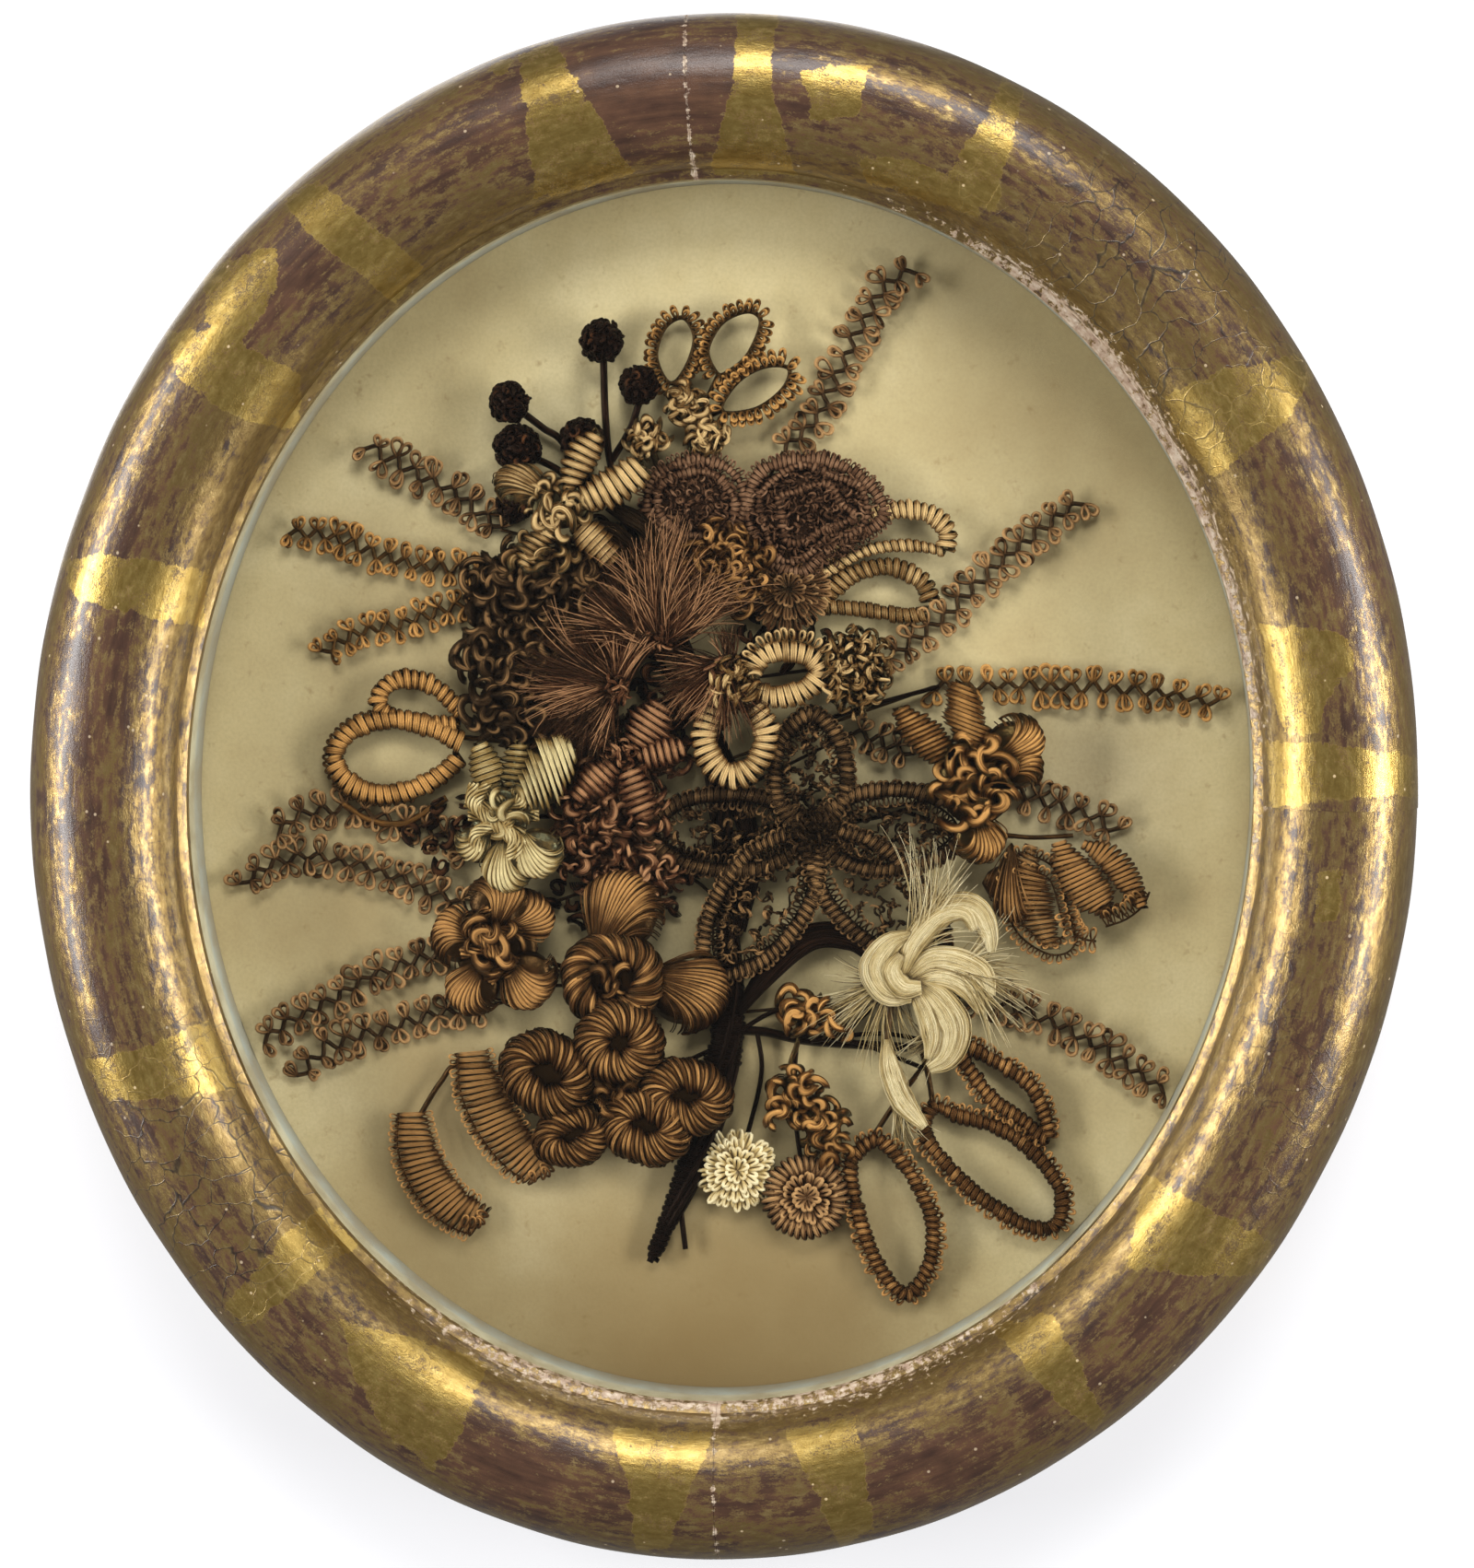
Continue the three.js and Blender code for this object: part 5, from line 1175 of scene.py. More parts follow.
# The white tuft: smooth locks and loose ends
h = Hair()
for route, widths, high, tall, count in (
        ([(978, 1062), (986, 1035), (1006, 1006), (1034, 984), (1060, 988), (1074, 1014), (1076, 1034)],
         [6, 11, 13, 12, 12, 9, 3], [5, 7, 8, 7, 6, 5, 2], 40, 170),
        ([(980, 1058), (994, 1024), (1020, 996), (1046, 992), (1058, 1010)], [4, 9, 9, 7, 3],
         [4, 6, 6, 4, 2], 45, 110),
        ([(990, 1014), (966, 1026), (952, 1052), (966, 1076), (990, 1080)], [5, 13, 17, 14, 6],
         [5, 7, 8, 7, 4], 42, 170),
        ([(978, 1036), (968, 1054), (980, 1072), (1000, 1072)], [5, 10, 10, 5], [4, 6, 6, 4], 48, 100),
        ([(986, 1060), (1010, 1042), (1040, 1044), (1066, 1058), (1076, 1082)], [6, 12, 13, 11, 3],
         [5, 7, 7, 5, 2], 40, 150),
        ([(990, 1066), (1022, 1060), (1050, 1072), (1066, 1100)], [6, 10, 10, 3], [5, 6, 6, 2], 38, 120),
        ([(990, 1065), (1016, 1084), (1034, 1116), (1028, 1146), (1008, 1160)], [7, 15, 17, 12, 4],
         [6, 8, 8, 6, 3], 38, 180),
        ([(988, 1068), (1004, 1096), (1012, 1126), (1008, 1150)], [6, 10, 10, 3], [5, 6, 6, 2], 40, 120),
        ([(962, 1128), (966, 1160), (980, 1195), (1004, 1224)], [5, 11, 10, 3], [5, 6, 6, 2], 28, 110)):
    lock(h, route, tall, widths, high, count * 2, (0.2, 1.05), 0.3, 1.8)
fan(h, (985, 1040), 54, 14, 130, 110, 42, 6, 10, 0.42, (0.2, 1.0))
fan(h, (968, 1062), 222, 44, 100, 210, 38, 4, 10, 0.42, (0.0, 1.0), droop=16)
fan(h, (1040, 1050), -10, 60, 96, 120, 40, 6, 0, 0.4, (0.2, 1.0), droop=12)
fan(h, (1026, 1110), -60, 60, 66, 80, 36, 4, 0, 0.4, (0.2, 1.0), droop=10)
fan(h, (975, 1180), 268, 40, 74, 80, 26, 2, 20, 0.45, (0.2, 1.0), droop=8)
wire(h, [(972, 1066, 38), (966, 1100, 30), (962, 1130, 26)], None, 4, 0.0)
stalk(h, (973, 1057), 38)
h.piece(WHITE, "white_tuft")

# The gilt moulding, in four lengths

def project(points):
    """Pixels of the photograph for points in metres."""
    d = np.asarray(points, float) - np.array(eye)
    z = d @ -np.array(away)
    return np.column_stack([PHOTO[0] / 2 + FOCAL_PX * (d @ np.array(right)) / z,
                            PHOTO[1] / 2 - FOCAL_PX * (d @ np.array(up)) / z])


def oval(turn, inset):
    """(x, z) of points that lie inset metres inside the frame's outer oval."""
    c, s = np.cos(turn), np.sin(turn)
    outward = unit(np.stack(np.broadcast_arrays(HALF_H * c, HALF_W * s), -1))
    return np.stack(np.broadcast_arrays(HALF_W * c, HALF_H * s), -1) - outward * np.asarray(inset)[..., None]


def soft_spots(px, table, base=0.0):
    """A base value at each point with soft spots added to it."""
    for x, y, reach_x, reach_y, weight in table:
        base = base + weight * np.exp(-((px[:, 0] - x) / reach_x) ** 2 - ((px[:, 1] - y) / reach_y) ** 2)
    return base


# Laps of leaf that still shine
LEAF = [
    [(562, 58), (600, 44), (640, 110), (690, 190), (640, 205), (580, 215)],
    [(800, 14), (845, 14), (836, 90), (864, 190), (770, 190), (796, 80)],
    [(870, 76), (900, 70), (944, 72), (930, 126), (880, 132)],
    [(930, 170), (985, 172), (1060, 200), (1066, 240), (1000, 215), (940, 200)],
    [(1090, 86), (1112, 98), (1080, 232), (1024, 196)],
    [(1262, 430), (1330, 400), (1415, 384), (1430, 405), (1400, 450), (1380, 470), (1315, 520), (1280, 480)],
    [(1366, 676), (1420, 680), (1465, 692), (1470, 720), (1440, 760), (1430, 795), (1395, 800), (1376, 740)],
    [(1374, 804), (1440, 806), (1545, 822), (1543, 866), (1460, 866), (1380, 878)],
    [(1428, 945), (1458, 942), (1452, 998), (1426, 1002)],
    [(1240, 1272), (1290, 1300), (1385, 1350), (1370, 1385), (1300, 1385), (1224, 1376)],
    [(1075, 1440), (1140, 1424), (1170, 1475), (1198, 1535), (1190, 1555), (1140, 1515)],
    [(850, 1552), (930, 1536), (948, 1660), (912, 1682), (884, 1620)],
    [(666, 1550), (776, 1552), (748, 1620), (724, 1682), (690, 1682), (680, 1610)],
    [(370, 1432), (440, 1450), (530, 1478), (500, 1560), (470, 1598), (420, 1560), (385, 1500)],
    [(240, 1420), (300, 1350), (345, 1310), (392, 1350), (340, 1385), (270, 1440)],
    [(92, 1150), (150, 1140), (225, 1106), (262, 1180), (200, 1192), (110, 1195)],
    [(64, 608), (110, 600), (226, 618), (222, 682), (150, 668), (80, 650)],
    [(180, 360), (230, 356), (325, 405), (328, 470), (260, 455), (190, 410)],
    [(222, 300), (260, 275), (302, 268), (300, 320), (262, 372), (222, 350)],
    [(308, 216), (345, 195), (400, 240), (460, 290), (430, 330), (380, 290), (330, 250)],
    [(530, 68), (556, 58), (552, 82), (534, 84)],
]
# Spots on the moulding, in the photograph's pixels: centre, reach and weight.
# Where more or less leaf covers the bole
BARE = [(700, 100, 160, 110, -0.55), (300, 320, 60, 70, -0.3), (120, 760, 60, 130, -0.2),
        (1250, 330, 120, 130, 0.12), (240, 480, 60, 60, 0.2), (1500, 980, 60, 260, 0.15),
        (560, 1600, 80, 60, -0.35), (1020, 1600, 70, 60, -0.3), (1290, 1480, 90, 80, -0.2),
        (180, 1290, 80, 80, 0.1), (1500, 600, 60, 90, -0.3), (90, 1300, 60, 80, -0.1)]
# Where the lip is rubbed down to the gesso, and where the gilding is cracked
RUBBED = [(800, 1500, 330, 60, 0.5), (1220, 360, 270, 260, 0.62), (520, 1420, 150, 80, 0.3),
          (1120, 1400, 150, 90, 0.3), (1350, 760, 90, 260, 0.35), (300, 300, 120, 120, 0.25)]
CRACKED = [(1265, 300, 190, 190, 1.2), (215, 1310, 160, 190, 1.2), (1400, 1180, 90, 200, 0.55),
           (120, 900, 90, 200, 0.3)]
# Section of the moulding: distance inside the outer oval, and distance from the wall.
# An arc rises to the crest and another falls from it to the lip
CREST_INSET, OUTER_DROP, INNER_DROP = 0.0225, 0.024, 0.0184
q = np.linspace(0, np.pi / 2, 24)
SECTION = np.vstack([
    [(0.004, FRAME_BACK), (0.0028, 0.0115), (0.001, 0.0178), (0.0003, 0.0230)],
    np.column_stack([CREST_INSET * (1 - np.cos(q)), CREST - OUTER_DROP * (1 - np.sin(q))]),
    np.column_stack([CREST_INSET * (1 + np.sin(q)), CREST - INNER_DROP * (1 - np.cos(q))])[1:],
    [(0.0464, 0.0331), (0.0474, 0.0322), (0.0475, 0.0293), (0.041, 0.0293), (0.041, FRAME_BACK)],
])
# Its last three points are behind the lip, where the wood is bare
GILDED = len(SECTION) - 3
# Where the lip begins and how wide it is, and the inset at which the leaf is thinnest
LIP_START, LIP_WIDTH, MIDDLE = 0.0395, 0.006, 0.021


def field(tree, name, output="Fac"):
    """A value that the mesh carries at each point."""
    return add(tree, "Attribute", attribute_name=name).outputs[output]


def gilt():
    """Worn water gilding: leaf over bole, brighter where laps of leaf lie, with cracks, chips and nicks."""
    m, tree, shader = start("gilt", Coat_Weight=0.15, Coat_Roughness=0.2)
    mul = lambda a, b, clamp=False: mathn(tree, "MULTIPLY", a, b, clamp=clamp)
    sub = lambda a, b, clamp=False: mathn(tree, "SUBTRACT", a, b, clamp=clamp)
    sweep = field(tree, "sweep", "Vector")
    leaf, wear, crack, cover = (field(tree, n) for n in ("leaf", "wear", "crack", "cover"))
    streak = noise(tree, sweep, 1.0, 4.0, 0.6, (34, 420, 1))
    cloud = noise(tree, sweep, 1.0, 4.0, 0.6, (60, 130, 1))
    mottle = noise(tree, sweep, 1.0, 5.0, 0.68, (190, 480, 1))
    grain = noise(tree, sweep, 1.0, 3.0, 0.7, (1300, 2100, 1))
    ragged = noise(tree, sweep, 1.0, 5.0, 0.7, (330, 330, 1))
    centred = lambda n, gain: mul(sub(n, 0.5), gain)
    total = lambda *parts: parts[0] if len(parts) == 1 else mathn(tree, "ADD", parts[0], total(*parts[1:]))
    bole = ramp(tree, cloud, [(0.3, srgb(46, 27, 19)), (0.5, srgb(70, 45, 32)), (0.7, srgb(92, 62, 44))])
    bole = mix(tree, 0.3, bole, ramp(tree, streak, [(0.35, srgb(40, 25, 18)), (0.65, srgb(104, 74, 50))]))
    worn = total(cover, centred(streak, 0.9), centred(cloud, 1.3), centred(mottle, 1.9), centred(grain, 1.1))
    worn = mul(worn, 2.4, clamp=True)
    gold = ramp(tree, mottle,
                [(0.3, srgb(110, 86, 48)), (0.55, srgb(144, 120, 72)), (0.75, srgb(178, 154, 104))])
    lap = total(leaf, centred(cloud, 0.9), centred(ragged, 0.8), centred(grain, 0.3))
    lap = mul(lap, 14.0, clamp=True)
    holes = total(0.17, centred(ragged, 0.9), centred(grain, 1.2), centred(cloud, 1.0))
    holes = mul(holes, 9.0, clamp=True)
    lap = mul(lap, mathn(tree, "MULTIPLY_ADD", holes, 0.75, 0.25))
    bright = ramp(tree, mottle,
                  [(0.3, srgb(150, 122, 62)), (0.55, srgb(178, 150, 84)), (0.75, srgb(204, 178, 108))])
    colour = mix(tree, mul(worn, 0.9), bole, gold)
    colour = mix(tree, lap, colour, bright)
    swirl = add(tree, "TexNoise", {"Vector": sweep, "Scale": 90.0}).outputs["Color"]
    bent = mix(tree, 0.012, sweep, swirl, "ADD")
    cell = add(tree, "Mapping", {"Vector": bent, "Scale": (98, 84, 1)}).outputs["Vector"]
    cell = add(tree, "TexVoronoi", {"Vector": cell, "Scale": 1.0, "Randomness": 0.8},
               feature="DISTANCE_TO_EDGE").outputs["Distance"]
    line = mul(sub(0.024, cell), 60.0, clamp=True)
    line = mul(line, crack)
    colour = mix(tree, mul(line, 0.85), colour, srgb(26, 17, 11))
    chip = total(wear, centred(ragged, 1.7), centred(mottle, 0.8), -0.55)
    chip = mul(chip, 7.0, clamp=True)
    colour = mix(tree, chip, colour,
                 ramp(tree, mottle, [(0.3, srgb(126, 92, 72)), (0.5, srgb(176, 152, 128)),
                                     (0.65, srgb(206, 190, 168))]))
    nick = add(tree, "Mapping", {"Vector": sweep, "Scale": (120, 150, 1)}).outputs["Vector"]
    nick = add(tree, "TexVoronoi", {"Vector": nick, "Scale": 1.0, "Randomness": 1.0}).outputs["Distance"]
    nick = mul(sub(0.075, nick), 40.0, clamp=True)
    colour = mix(tree, mul(nick, 0.6), colour, srgb(196, 176, 146))
    feed(tree, shader, Base_Color=colour)
    metal = mathn(tree, "MAXIMUM", mul(worn, 0.85), lap)
    metal = mul(metal, sub(1.0, mathn(tree, "MAXIMUM", mathn(tree, "MAXIMUM", chip, nick), line)))
    feed(tree, shader, Metallic=metal)
    rough = mathn(tree, "MULTIPLY_ADD", grain, 0.22, mathn(tree, "MULTIPLY_ADD", chip, 0.4, 0.22))
    feed(tree, shader, Roughness=rough)
    relief = total(mul(streak, 0.4), mul(mottle, 0.5), mul(grain, 0.3))
    relief = sub(relief, mathn(tree, "MULTIPLY_ADD", line, 0.3, mul(chip, 0.8)))
    bump(tree, shader, relief, 0.34, 0.0007)
    return m


def wood(name, dark, light, stretch=(6, 30, 260)):
    """Wood or card with a grain that is stretched along its axes."""
    m, tree, shader = start(name, Roughness=0.75)
    spot = add(tree, "TexCoord").outputs["Object"]
    rings = noise(tree, spot, 1.0, 5.0, 0.6, stretch)
    dirt = noise(tree, spot, 28.0, 4.0, 0.6)
    colour = ramp(tree, rings, [(0.3, srgb(*dark)), (0.7, srgb(*light))])
    colour = mix(tree, ramp(tree, dirt, [(0.35, 0.75), (0.7, 0.0)]), colour, srgb(*(c * 0.45 for c in dark)))
    feed(tree, shader, Base_Color=colour)
    bump(tree, shader, rings, 0.35, 0.0006)
    return m


def metal(name, rough, scale, dark, light):
    """Bare metal with stains of rust or tarnish."""
    m, tree, shader = start(name, Metallic=1.0, Roughness=rough)
    stain = noise(tree, add(tree, "TexCoord").outputs["Object"], scale, 4.0)
    feed(tree, shader, Base_Color=ramp(tree, stain, [(0.35, srgb(*dark)), (0.7, srgb(*light))]))
    return m


GILT = gilt()
RAW = wood("raw_wood", (96, 66, 40), (158, 118, 76))
# Turns at which the lengths of moulding meet, and half of an open seam: at the sides it is almost shut
SEAMS = [math.radians(d) for d in (2.5, 95.5, 182.5, 274, 362.5)]
SLIT, SIDE_SLIT = 0.0003, 0.00002
begun = 0.0
for index, node in enumerate(("frame_upper_right", "frame_upper_left", "frame_lower_left",
                              "frame_lower_right")):
    slit = (SLIT, SIDE_SLIT) if index % 2 else (SIDE_SLIT, SLIT)
    turns = np.linspace(SEAMS[index] + slit[0], SEAMS[index + 1] - slit[1], 300)
    n, m = len(turns), len(SECTION)
    plan = oval(turns[:, None], np.broadcast_to(SECTION[:, 0], (n, m)))
    edge = oval(turns, np.zeros(n))
    length = travelled(edge) + begun
    begun = length[-1]
    width = travelled(SECTION)
    points = np.stack([plan[..., 0], -np.broadcast_to(SECTION[:, 1], (n, m)), plan[..., 1]], -1)
    ripple = (np.sin(length * 61)[:, None] * np.sin(width * 190 + 2 * np.sin(length * 23)[:, None])
              + 0.6 * np.sin(length * 143 + 2)[:, None] * np.sin(width * 330 + length[:, None] * 40))
    normal = np.cross(np.gradient(points, axis=0), np.gradient(points, axis=1))
    normal = unit(normal) * np.where(np.arange(m) < GILDED - 2, 1, 0)[None, :, None]
    points += normal * ripple[..., None] * 0.00013
    points[..., 1] = np.clip(points[..., 1], -CREST, -FRAME_BACK)
    points = points.reshape(-1, 3)
    mesh = bpy.data.meshes.new("moulding")
    mesh.from_pydata(points.tolist(), [],
                     sleeve(n, m).tolist() + [list(range(m))[::-1], list(range((n - 1) * m, n * m))])
    mesh.polygons.foreach_set("material_index", np.concatenate([
        np.tile((np.arange(m) >= GILDED).astype(np.int32), n - 1), [1, 1]]).astype(np.int32))
    mesh.polygons.foreach_set("use_smooth", np.ones((n - 1) * m + 2, bool))
    mesh.set_sharp_from_angle(angle=0.7)
    px = project(points)
    leaf = np.max([inside(px, outline) for outline in LEAF], axis=0)
    inset = np.tile(SECTION[:, 0], n)
    ends = np.repeat(np.minimum(length - length[0], length[-1] - length), m)
    lip = np.clip((inset - LIP_START) / LIP_WIDTH, 0, 1)
    wear = lip * soft_spots(px, RUBBED, 0.2)
    wear += np.exp(-(ends / 0.0014) ** 2) * np.where(np.abs(px[:, 0] - 760) < 200, 0.6, 0.1)
    crack = np.clip(soft_spots(px, CRACKED), 0, 1)
    cover = soft_spots(px, BARE, 0.08 + 0.36 * np.clip(np.abs(inset - MIDDLE) / MIDDLE, 0, 1) ** 1.2)
    for label, values in (("leaf", np.clip(leaf / 20, -1, 1)), ("wear", wear), ("crack", crack),
                          ("cover", cover)):
        mesh.attributes.new(label, "FLOAT", "POINT").data.foreach_set("value", values.astype(np.float32))
    sweep = np.stack([np.repeat(length, m), np.tile(width, n), np.zeros(n * m)], -1)
    mesh.attributes.new("sweep", "FLOAT_VECTOR",
                        "POINT").data.foreach_set("vector", sweep.astype(np.float32).ravel())
    mesh.materials.append(GILT)
    mesh.materials.append(RAW)
    obj = bpy.data.objects.new("moulding_" + node[6:], mesh)
    bpy.context.scene.collection.objects.link(obj)
    dress(obj, "frame", node)

# The well: liner, paper, boards and glass

def hoop(name, material, node, inner, outer, back, front):
    """A thin oval wall between two insets and two depths, all in metres."""
    steps = 360
    turns = np.linspace(0, 2 * np.pi, steps, endpoint=False)
    depths = np.linspace(back, front, 9)
    profile = np.array([(inner, d) for d in depths] + [(outer, d) for d in depths[::-1]])
    m = len(profile)
    plan = oval(turns[:, None], np.broadcast_to(profile[:, 0], (steps, m)))
    points = np.stack([plan[..., 0], -np.broadcast_to(profile[:, 1], (steps, m)), plan[..., 1]],
                      -1).reshape(-1, 3)
    quads = sleeve(steps, m, True)[:, [1, 0, 3, 2]]
    obj = mesh_piece(name, points, quads, material)
    obj.data.polygons.foreach_set("use_smooth", np.zeros(len(quads), bool))
    dress(obj, "frame", node)


LINER_BACK, LINER_FRONT = 0.0104, 0.0267
m, tree, shader = start("liner_paper", Roughness=0.8)
spot = add(tree, "TexCoord").outputs["Object"]
depth = mathn(tree, "MULTIPLY", add(tree, "SeparateXYZ", {"Vector": spot}).outputs["Y"], -1.0)
share = add(tree, "MapRange",
            {"Value": depth, "From Min": LINER_BACK, "From Max": LINER_FRONT}).outputs["Result"]
foxing = noise(tree, spot, 60.0, 4.0, 0.6)
# Darker towards the back of the well, where the liner meets the paper: painted shade in the corner; the
# grey-blue and cream bands are the liner's own colour
tone = ramp(tree, share, [(0.0, srgb(132, 128, 112)), (0.5, srgb(172, 176, 168)), (0.62, srgb(196, 190, 166)),
                          (1.0, srgb(206, 196, 164))])
colour = mix(tree, ramp(tree, foxing, [(0.4, 0.55), (0.65, 0.0)]), tone, srgb(138, 118, 84))
feed(tree, shader, Base_Color=colour)
hoop("side_liner", m, "well_liner", 0.0467, 0.0416, LINER_BACK, LINER_FRONT)

m, tree, shader = start("aged_paper", Roughness=0.85, Specular_IOR_Level=0.25)
spot = add(tree, "TexCoord").outputs["Object"]
broad = noise(tree, spot, 14.0, 5.0, 0.6)
fine = noise(tree, spot, 900.0, 2.0, 0.7)
spots = noise(tree, spot, 170.0, 3.0, 0.75)
colour = ramp(tree, broad,
              [(0.28, srgb(180, 158, 115)), (0.5, srgb(197, 178, 134)), (0.7, srgb(212, 195, 154))])
colour = mix(tree, ramp(tree, spots, [(0.62, 0.0), (0.78, 0.6)]), colour, srgb(150, 122, 80))
colour = mix(tree, ramp(tree, fine, [(0.35, 0.18), (0.6, 0.0)]), colour, srgb(150, 132, 98))
# Darker patches: partly stains of the paper, partly painted shadow and shade round the bouquet, beside it, at
# the upper right and along the bottom. Centre in the photograph's pixels, reach in metres, strength and
# colour
for (x, y), reach, strength, dark in (
        ((1120, 420), 0.085, 0.36, (142, 122, 86)), ((700, 850), 0.12, 0.35, (140, 116, 74)),
        ((430, 1330), 0.06, 0.28, (160, 138, 96)), ((1040, 260), 0.05, 0.4, (140, 122, 88)),
        ((800, 1480), 0.08, 0.6, (138, 112, 70)), ((350, 1000), 0.05, 0.25, (144, 118, 76)),
        ((720, 1440), 0.11, 0.6, (112, 88, 50)), ((1180, 830), 0.045, 0.4, (132, 102, 64)),
        ((470, 1210), 0.055, 0.35, (130, 104, 64)), ((430, 640), 0.05, 0.25, (138, 114, 76))):
    at = place([(x, y, 0)])[0]
    gone = add(tree, "VectorMath", {0: spot, 1: tuple(at)}, operation="DISTANCE").outputs["Value"]
    gone = mathn(tree, "MULTIPLY_ADD", broad, 0.03, gone)
    fade = add(tree, "MapRange",
               {"Value": gone, "From Min": reach * 0.25, "From Max": reach * 1.3, "To Min": strength,
                "To Max": 0.0},
               interpolation_type="SMOOTHSTEP").outputs["Result"]
    colour = mix(tree, fade, colour, srgb(*dark))
feed(tree, shader, Base_Color=colour)
bump(tree, shader, fine, 0.2, 0.0002)
PAPER_LOOK = m

m, tree, shader = start("window_glass")
tree.nodes.remove(shader)
clear = add(tree, "BsdfTransparent", {"Color": (0.965, 0.975, 0.965, 1)}).outputs[0]
gloss = add(tree, "BsdfGlossy", {"Color": (1, 1, 1, 1), "Roughness": 0.02}).outputs[0]
facing = mathn(tree, "MULTIPLY", add(tree, "Fresnel", {"IOR": 1.45}).outputs[0], 0.3)
lit = add(tree, "MixShader", {"Fac": facing, 1: clear, 2: gloss}).outputs[0]
shadow = add(tree, "LightPath").outputs["Is Shadow Ray"]
lit = add(tree, "MixShader", {"Fac": shadow, 1: lit, 2: clear}).outputs[0]
tree.links.new(lit, tree.nodes["Material Output"].inputs["Surface"])
GLASS_LOOK = m

CARD = wood("card", (150, 126, 88), (178, 152, 110), (60, 60, 60))
PINE = wood("pine", (150, 112, 68), (196, 156, 104))
IRON = metal("iron", 0.55, 700.0, (58, 50, 44), (112, 78, 54))
BRASS = metal("brass", 0.34, 300.0, (112, 84, 40), (190, 152, 84))

for node, material in (("ground_paper", PAPER_LOOK), ("glass_pane", GLASS_LOOK), ("mount_board", CARD),
                       ("backboard", PINE), *((f"backboard_nail_{i}", IRON) for i in (1, 2, 3, 4))):
    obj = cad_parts[node]
    obj.data.materials.clear()
    obj.data.materials.append(material)

# Hanging rings and their screw eyes

def torus(centre, radius, thick, axis, around=96, tube=20):
    """Points and quads of a ring whose axis is x or y."""
    a = 2 * np.pi * np.arange(around)[:, None] / around
    b = 2 * np.pi * np.arange(tube)[None] / tube
    r = radius + thick * np.cos(b)
    flat_ring = np.stack(np.broadcast_arrays(r * np.cos(a), r * np.sin(a), thick * np.sin(b)), -1)
    order = (2, 0, 1) if axis == "x" else (0, 2, 1)
    points = flat_ring[..., order].reshape(-1, 3) + np.array(centre)
    quads = sleeve(around, tube, True)
    return points, quads[:, [0, 3, 2, 1] if axis == "x" else [1, 2, 3, 0]]


EYE_X, EYE_Z, EYE_DEPTH, RING_Z = 0.16207, 0.11449, 0.00355, 0.10684
EYE_RADIUS, EYE_WIRE = 0.0026, 0.00085
RING_RADIUS, RING_WIRE = 0.007, 0.0008
THREAD_START, THREAD_PITCH, POINT_START, SHANK_END = 0.0078, 0.0009, 0.0175, 0.0193
SIDES, RINGS = 12, 60
for label, x in (("right", EYE_X), ("left", -EYE_X)):
    points, quads = torus((x, -EYE_DEPTH, EYE_Z), EYE_RADIUS, EYE_WIRE, "x", 48, 16)
    s = np.linspace(EYE_DEPTH + EYE_RADIUS, SHANK_END, RINGS)
    turn = 2 * np.pi * np.arange(SIDES) / SIDES
    thread = EYE_WIRE * np.where(s > THREAD_START, 0.9 + 0.1 * np.sin(s * 2 * np.pi / THREAD_PITCH), 1.0)
    thread = thread * np.interp(s, [POINT_START, SHANK_END], [1, 0.25])
    shank = np.stack([x + thread[:, None] * np.cos(turn), np.broadcast_to(-s[:, None], (RINGS, SIDES)),
                      EYE_Z + thread[:, None] * np.sin(turn)], -1).reshape(-1, 3)
    walls = sleeve(RINGS, SIDES)
    cap = np.array([(k + 2, k + 1, k, 0) for k in range(1, SIDES - 1, 2)])
    faces = [quads] + [part + len(points) for part in (walls, cap, cap[:, ::-1] + (RINGS - 1) * SIDES)]
    obj = mesh_piece("eye_" + label, np.vstack([points, shank]), np.vstack(faces), IRON)
    dress(obj, "frame", "screw_eye_" + label)
    obj = mesh_piece("ring_" + label, *torus((x, -EYE_DEPTH, RING_Z), RING_RADIUS, RING_WIRE, "y"), BRASS)
    dress(obj, "ring_" + label, "hanging_ring_" + label)

# Wall, lamps and world

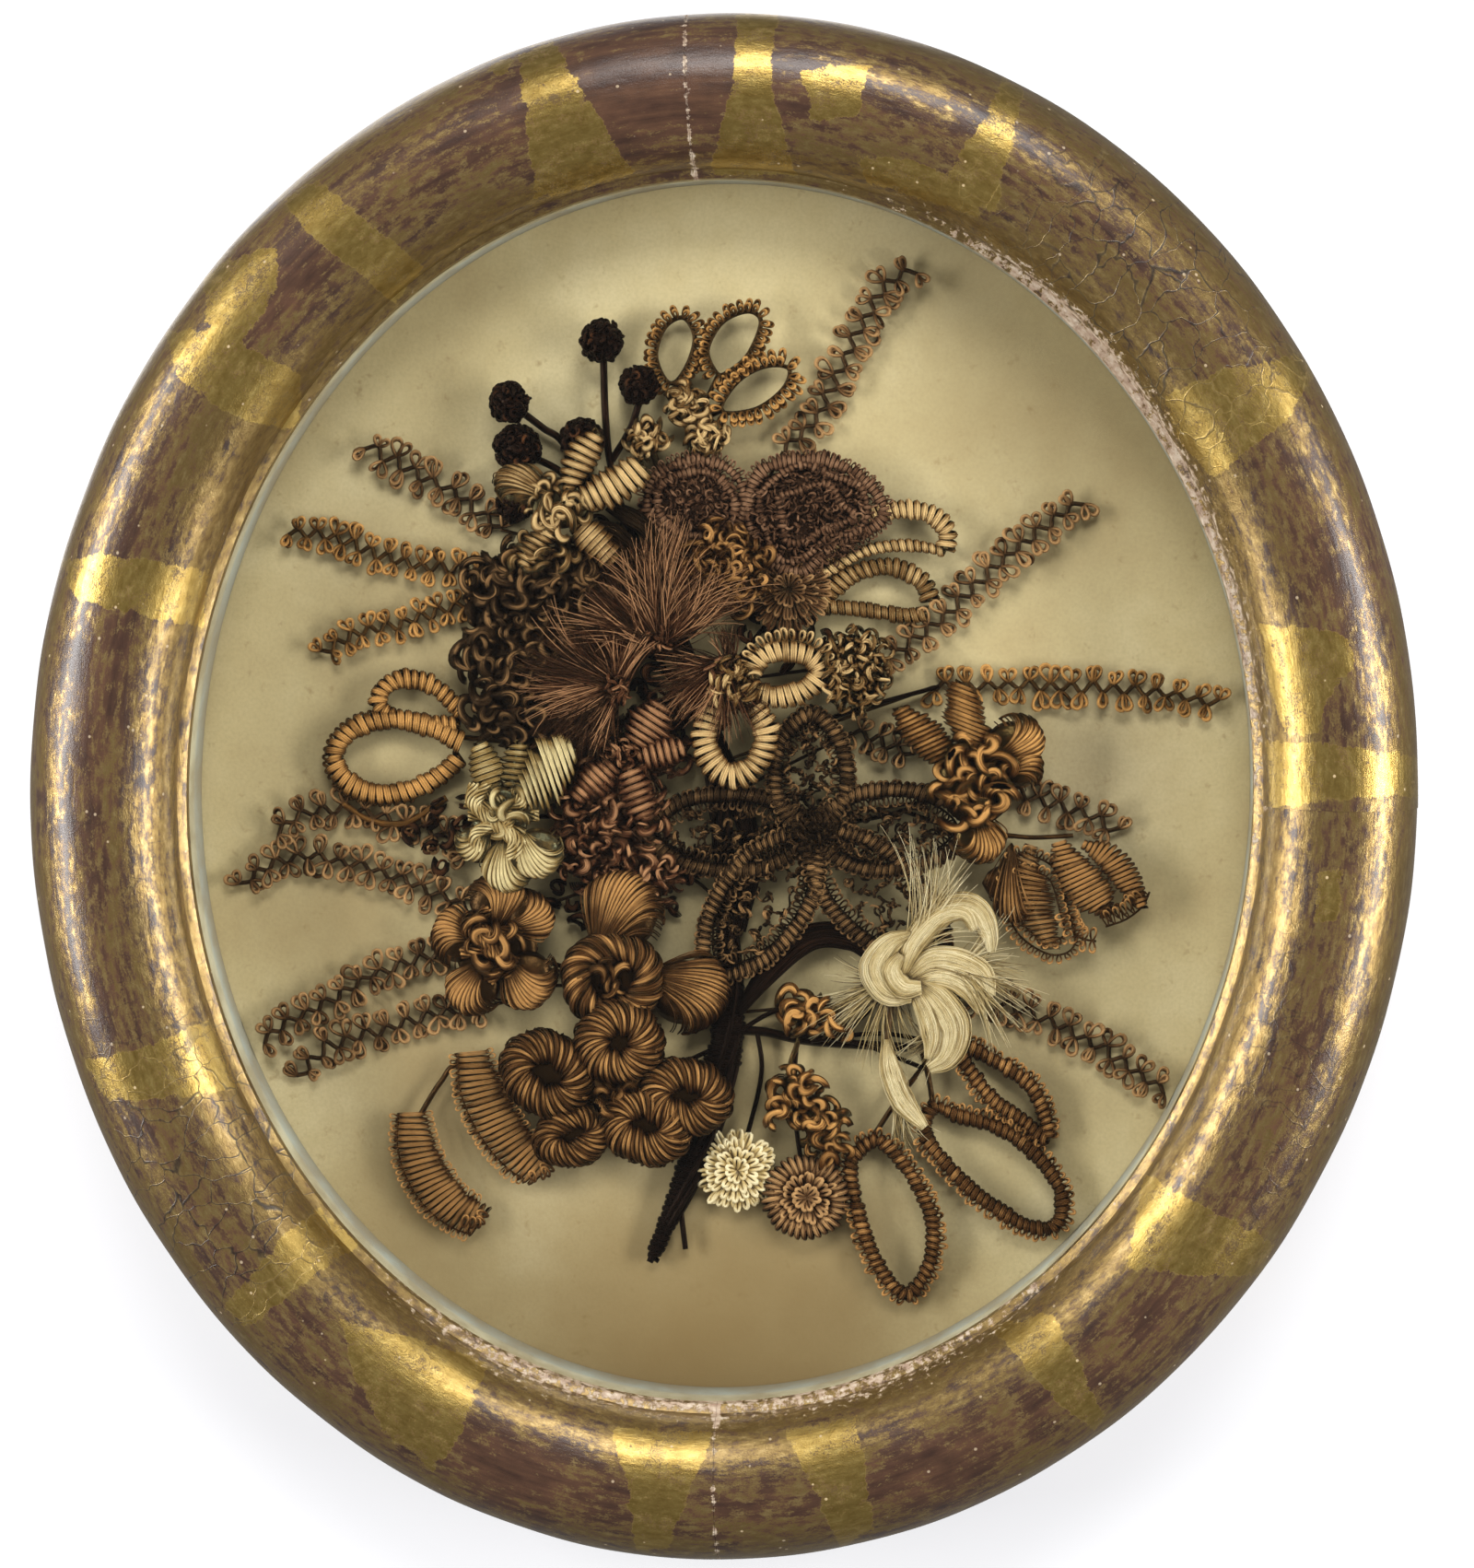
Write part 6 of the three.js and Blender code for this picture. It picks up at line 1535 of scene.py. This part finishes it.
def lamp(name, energy, size, at):
    """A soft lamp that the camera doesn't see, turned to the bouquet."""
    data = bpy.data.lights.new(name, "AREA")
    data.shape = "RECTANGLE"
    data.size, data.size_y = size
    data.energy = energy
    obj = bpy.data.objects.new(name, data)
    obj.location = at
    obj.rotation_euler = (Vector((0, -0.03, 0)) - Vector(at)).to_track_quat("-Z", "Y").to_euler()
    obj.visible_camera = False
    bpy.context.scene.collection.objects.link(obj)


# The wall shows from its front and only to the camera, so that views from behind see through it
WALL_HALF, WALL_GAP = 3, 0.0006
m, tree, shader = start("wall_white")
tree.nodes.remove(shader)
paint = add(tree, "BsdfDiffuse", {"Color": srgb(250, 250, 252)}).outputs[0]
glow = add(tree, "Emission", {"Color": srgb(252, 252, 255), "Strength": 1.0}).outputs[0]
lit = add(tree, "MixShader", {"Fac": 0.5, 1: paint, 2: glow}).outputs[0]
clear = add(tree, "BsdfTransparent").outputs[0]
seen = add(tree, "LightPath").outputs["Is Camera Ray"]
front = mathn(tree, "SUBTRACT", 1.0, add(tree, "NewGeometry").outputs["Backfacing"])
lit = add(tree, "MixShader", {"Fac": mathn(tree, "MULTIPLY", seen, front), 1: clear, 2: lit}).outputs[0]
tree.links.new(lit, tree.nodes["Material Output"].inputs["Surface"])
corners = np.array([(-1, 0, -1), (1, 0, -1), (1, 0, 1), (-1, 0, 1)]) * WALL_HALF + (0, WALL_GAP, 0)
wall = mesh_piece("wall", corners, np.array([(0, 1, 2, 3)]), m)

lamp("box_left", 19, (0.26, 1.0), (-1.15, -0.62, 0.05))
lamp("box_right", 19, (0.26, 1.0), (1.18, -0.62, 0.05))
lamp("top_light", 15, (0.9, 0.45), (0.1, -1.15, 1.15))
lamp("back_light", 7, (1.2, 1.2), (-0.5, 1.3, 0.6))
world = bpy.data.worlds.new("studio")
world.use_nodes = True
world.node_tree.nodes["Background"].inputs["Color"].default_value = (1, 1, 1, 1)
world.node_tree.nodes["Background"].inputs["Strength"].default_value = 0.26
bpy.context.scene.world = world
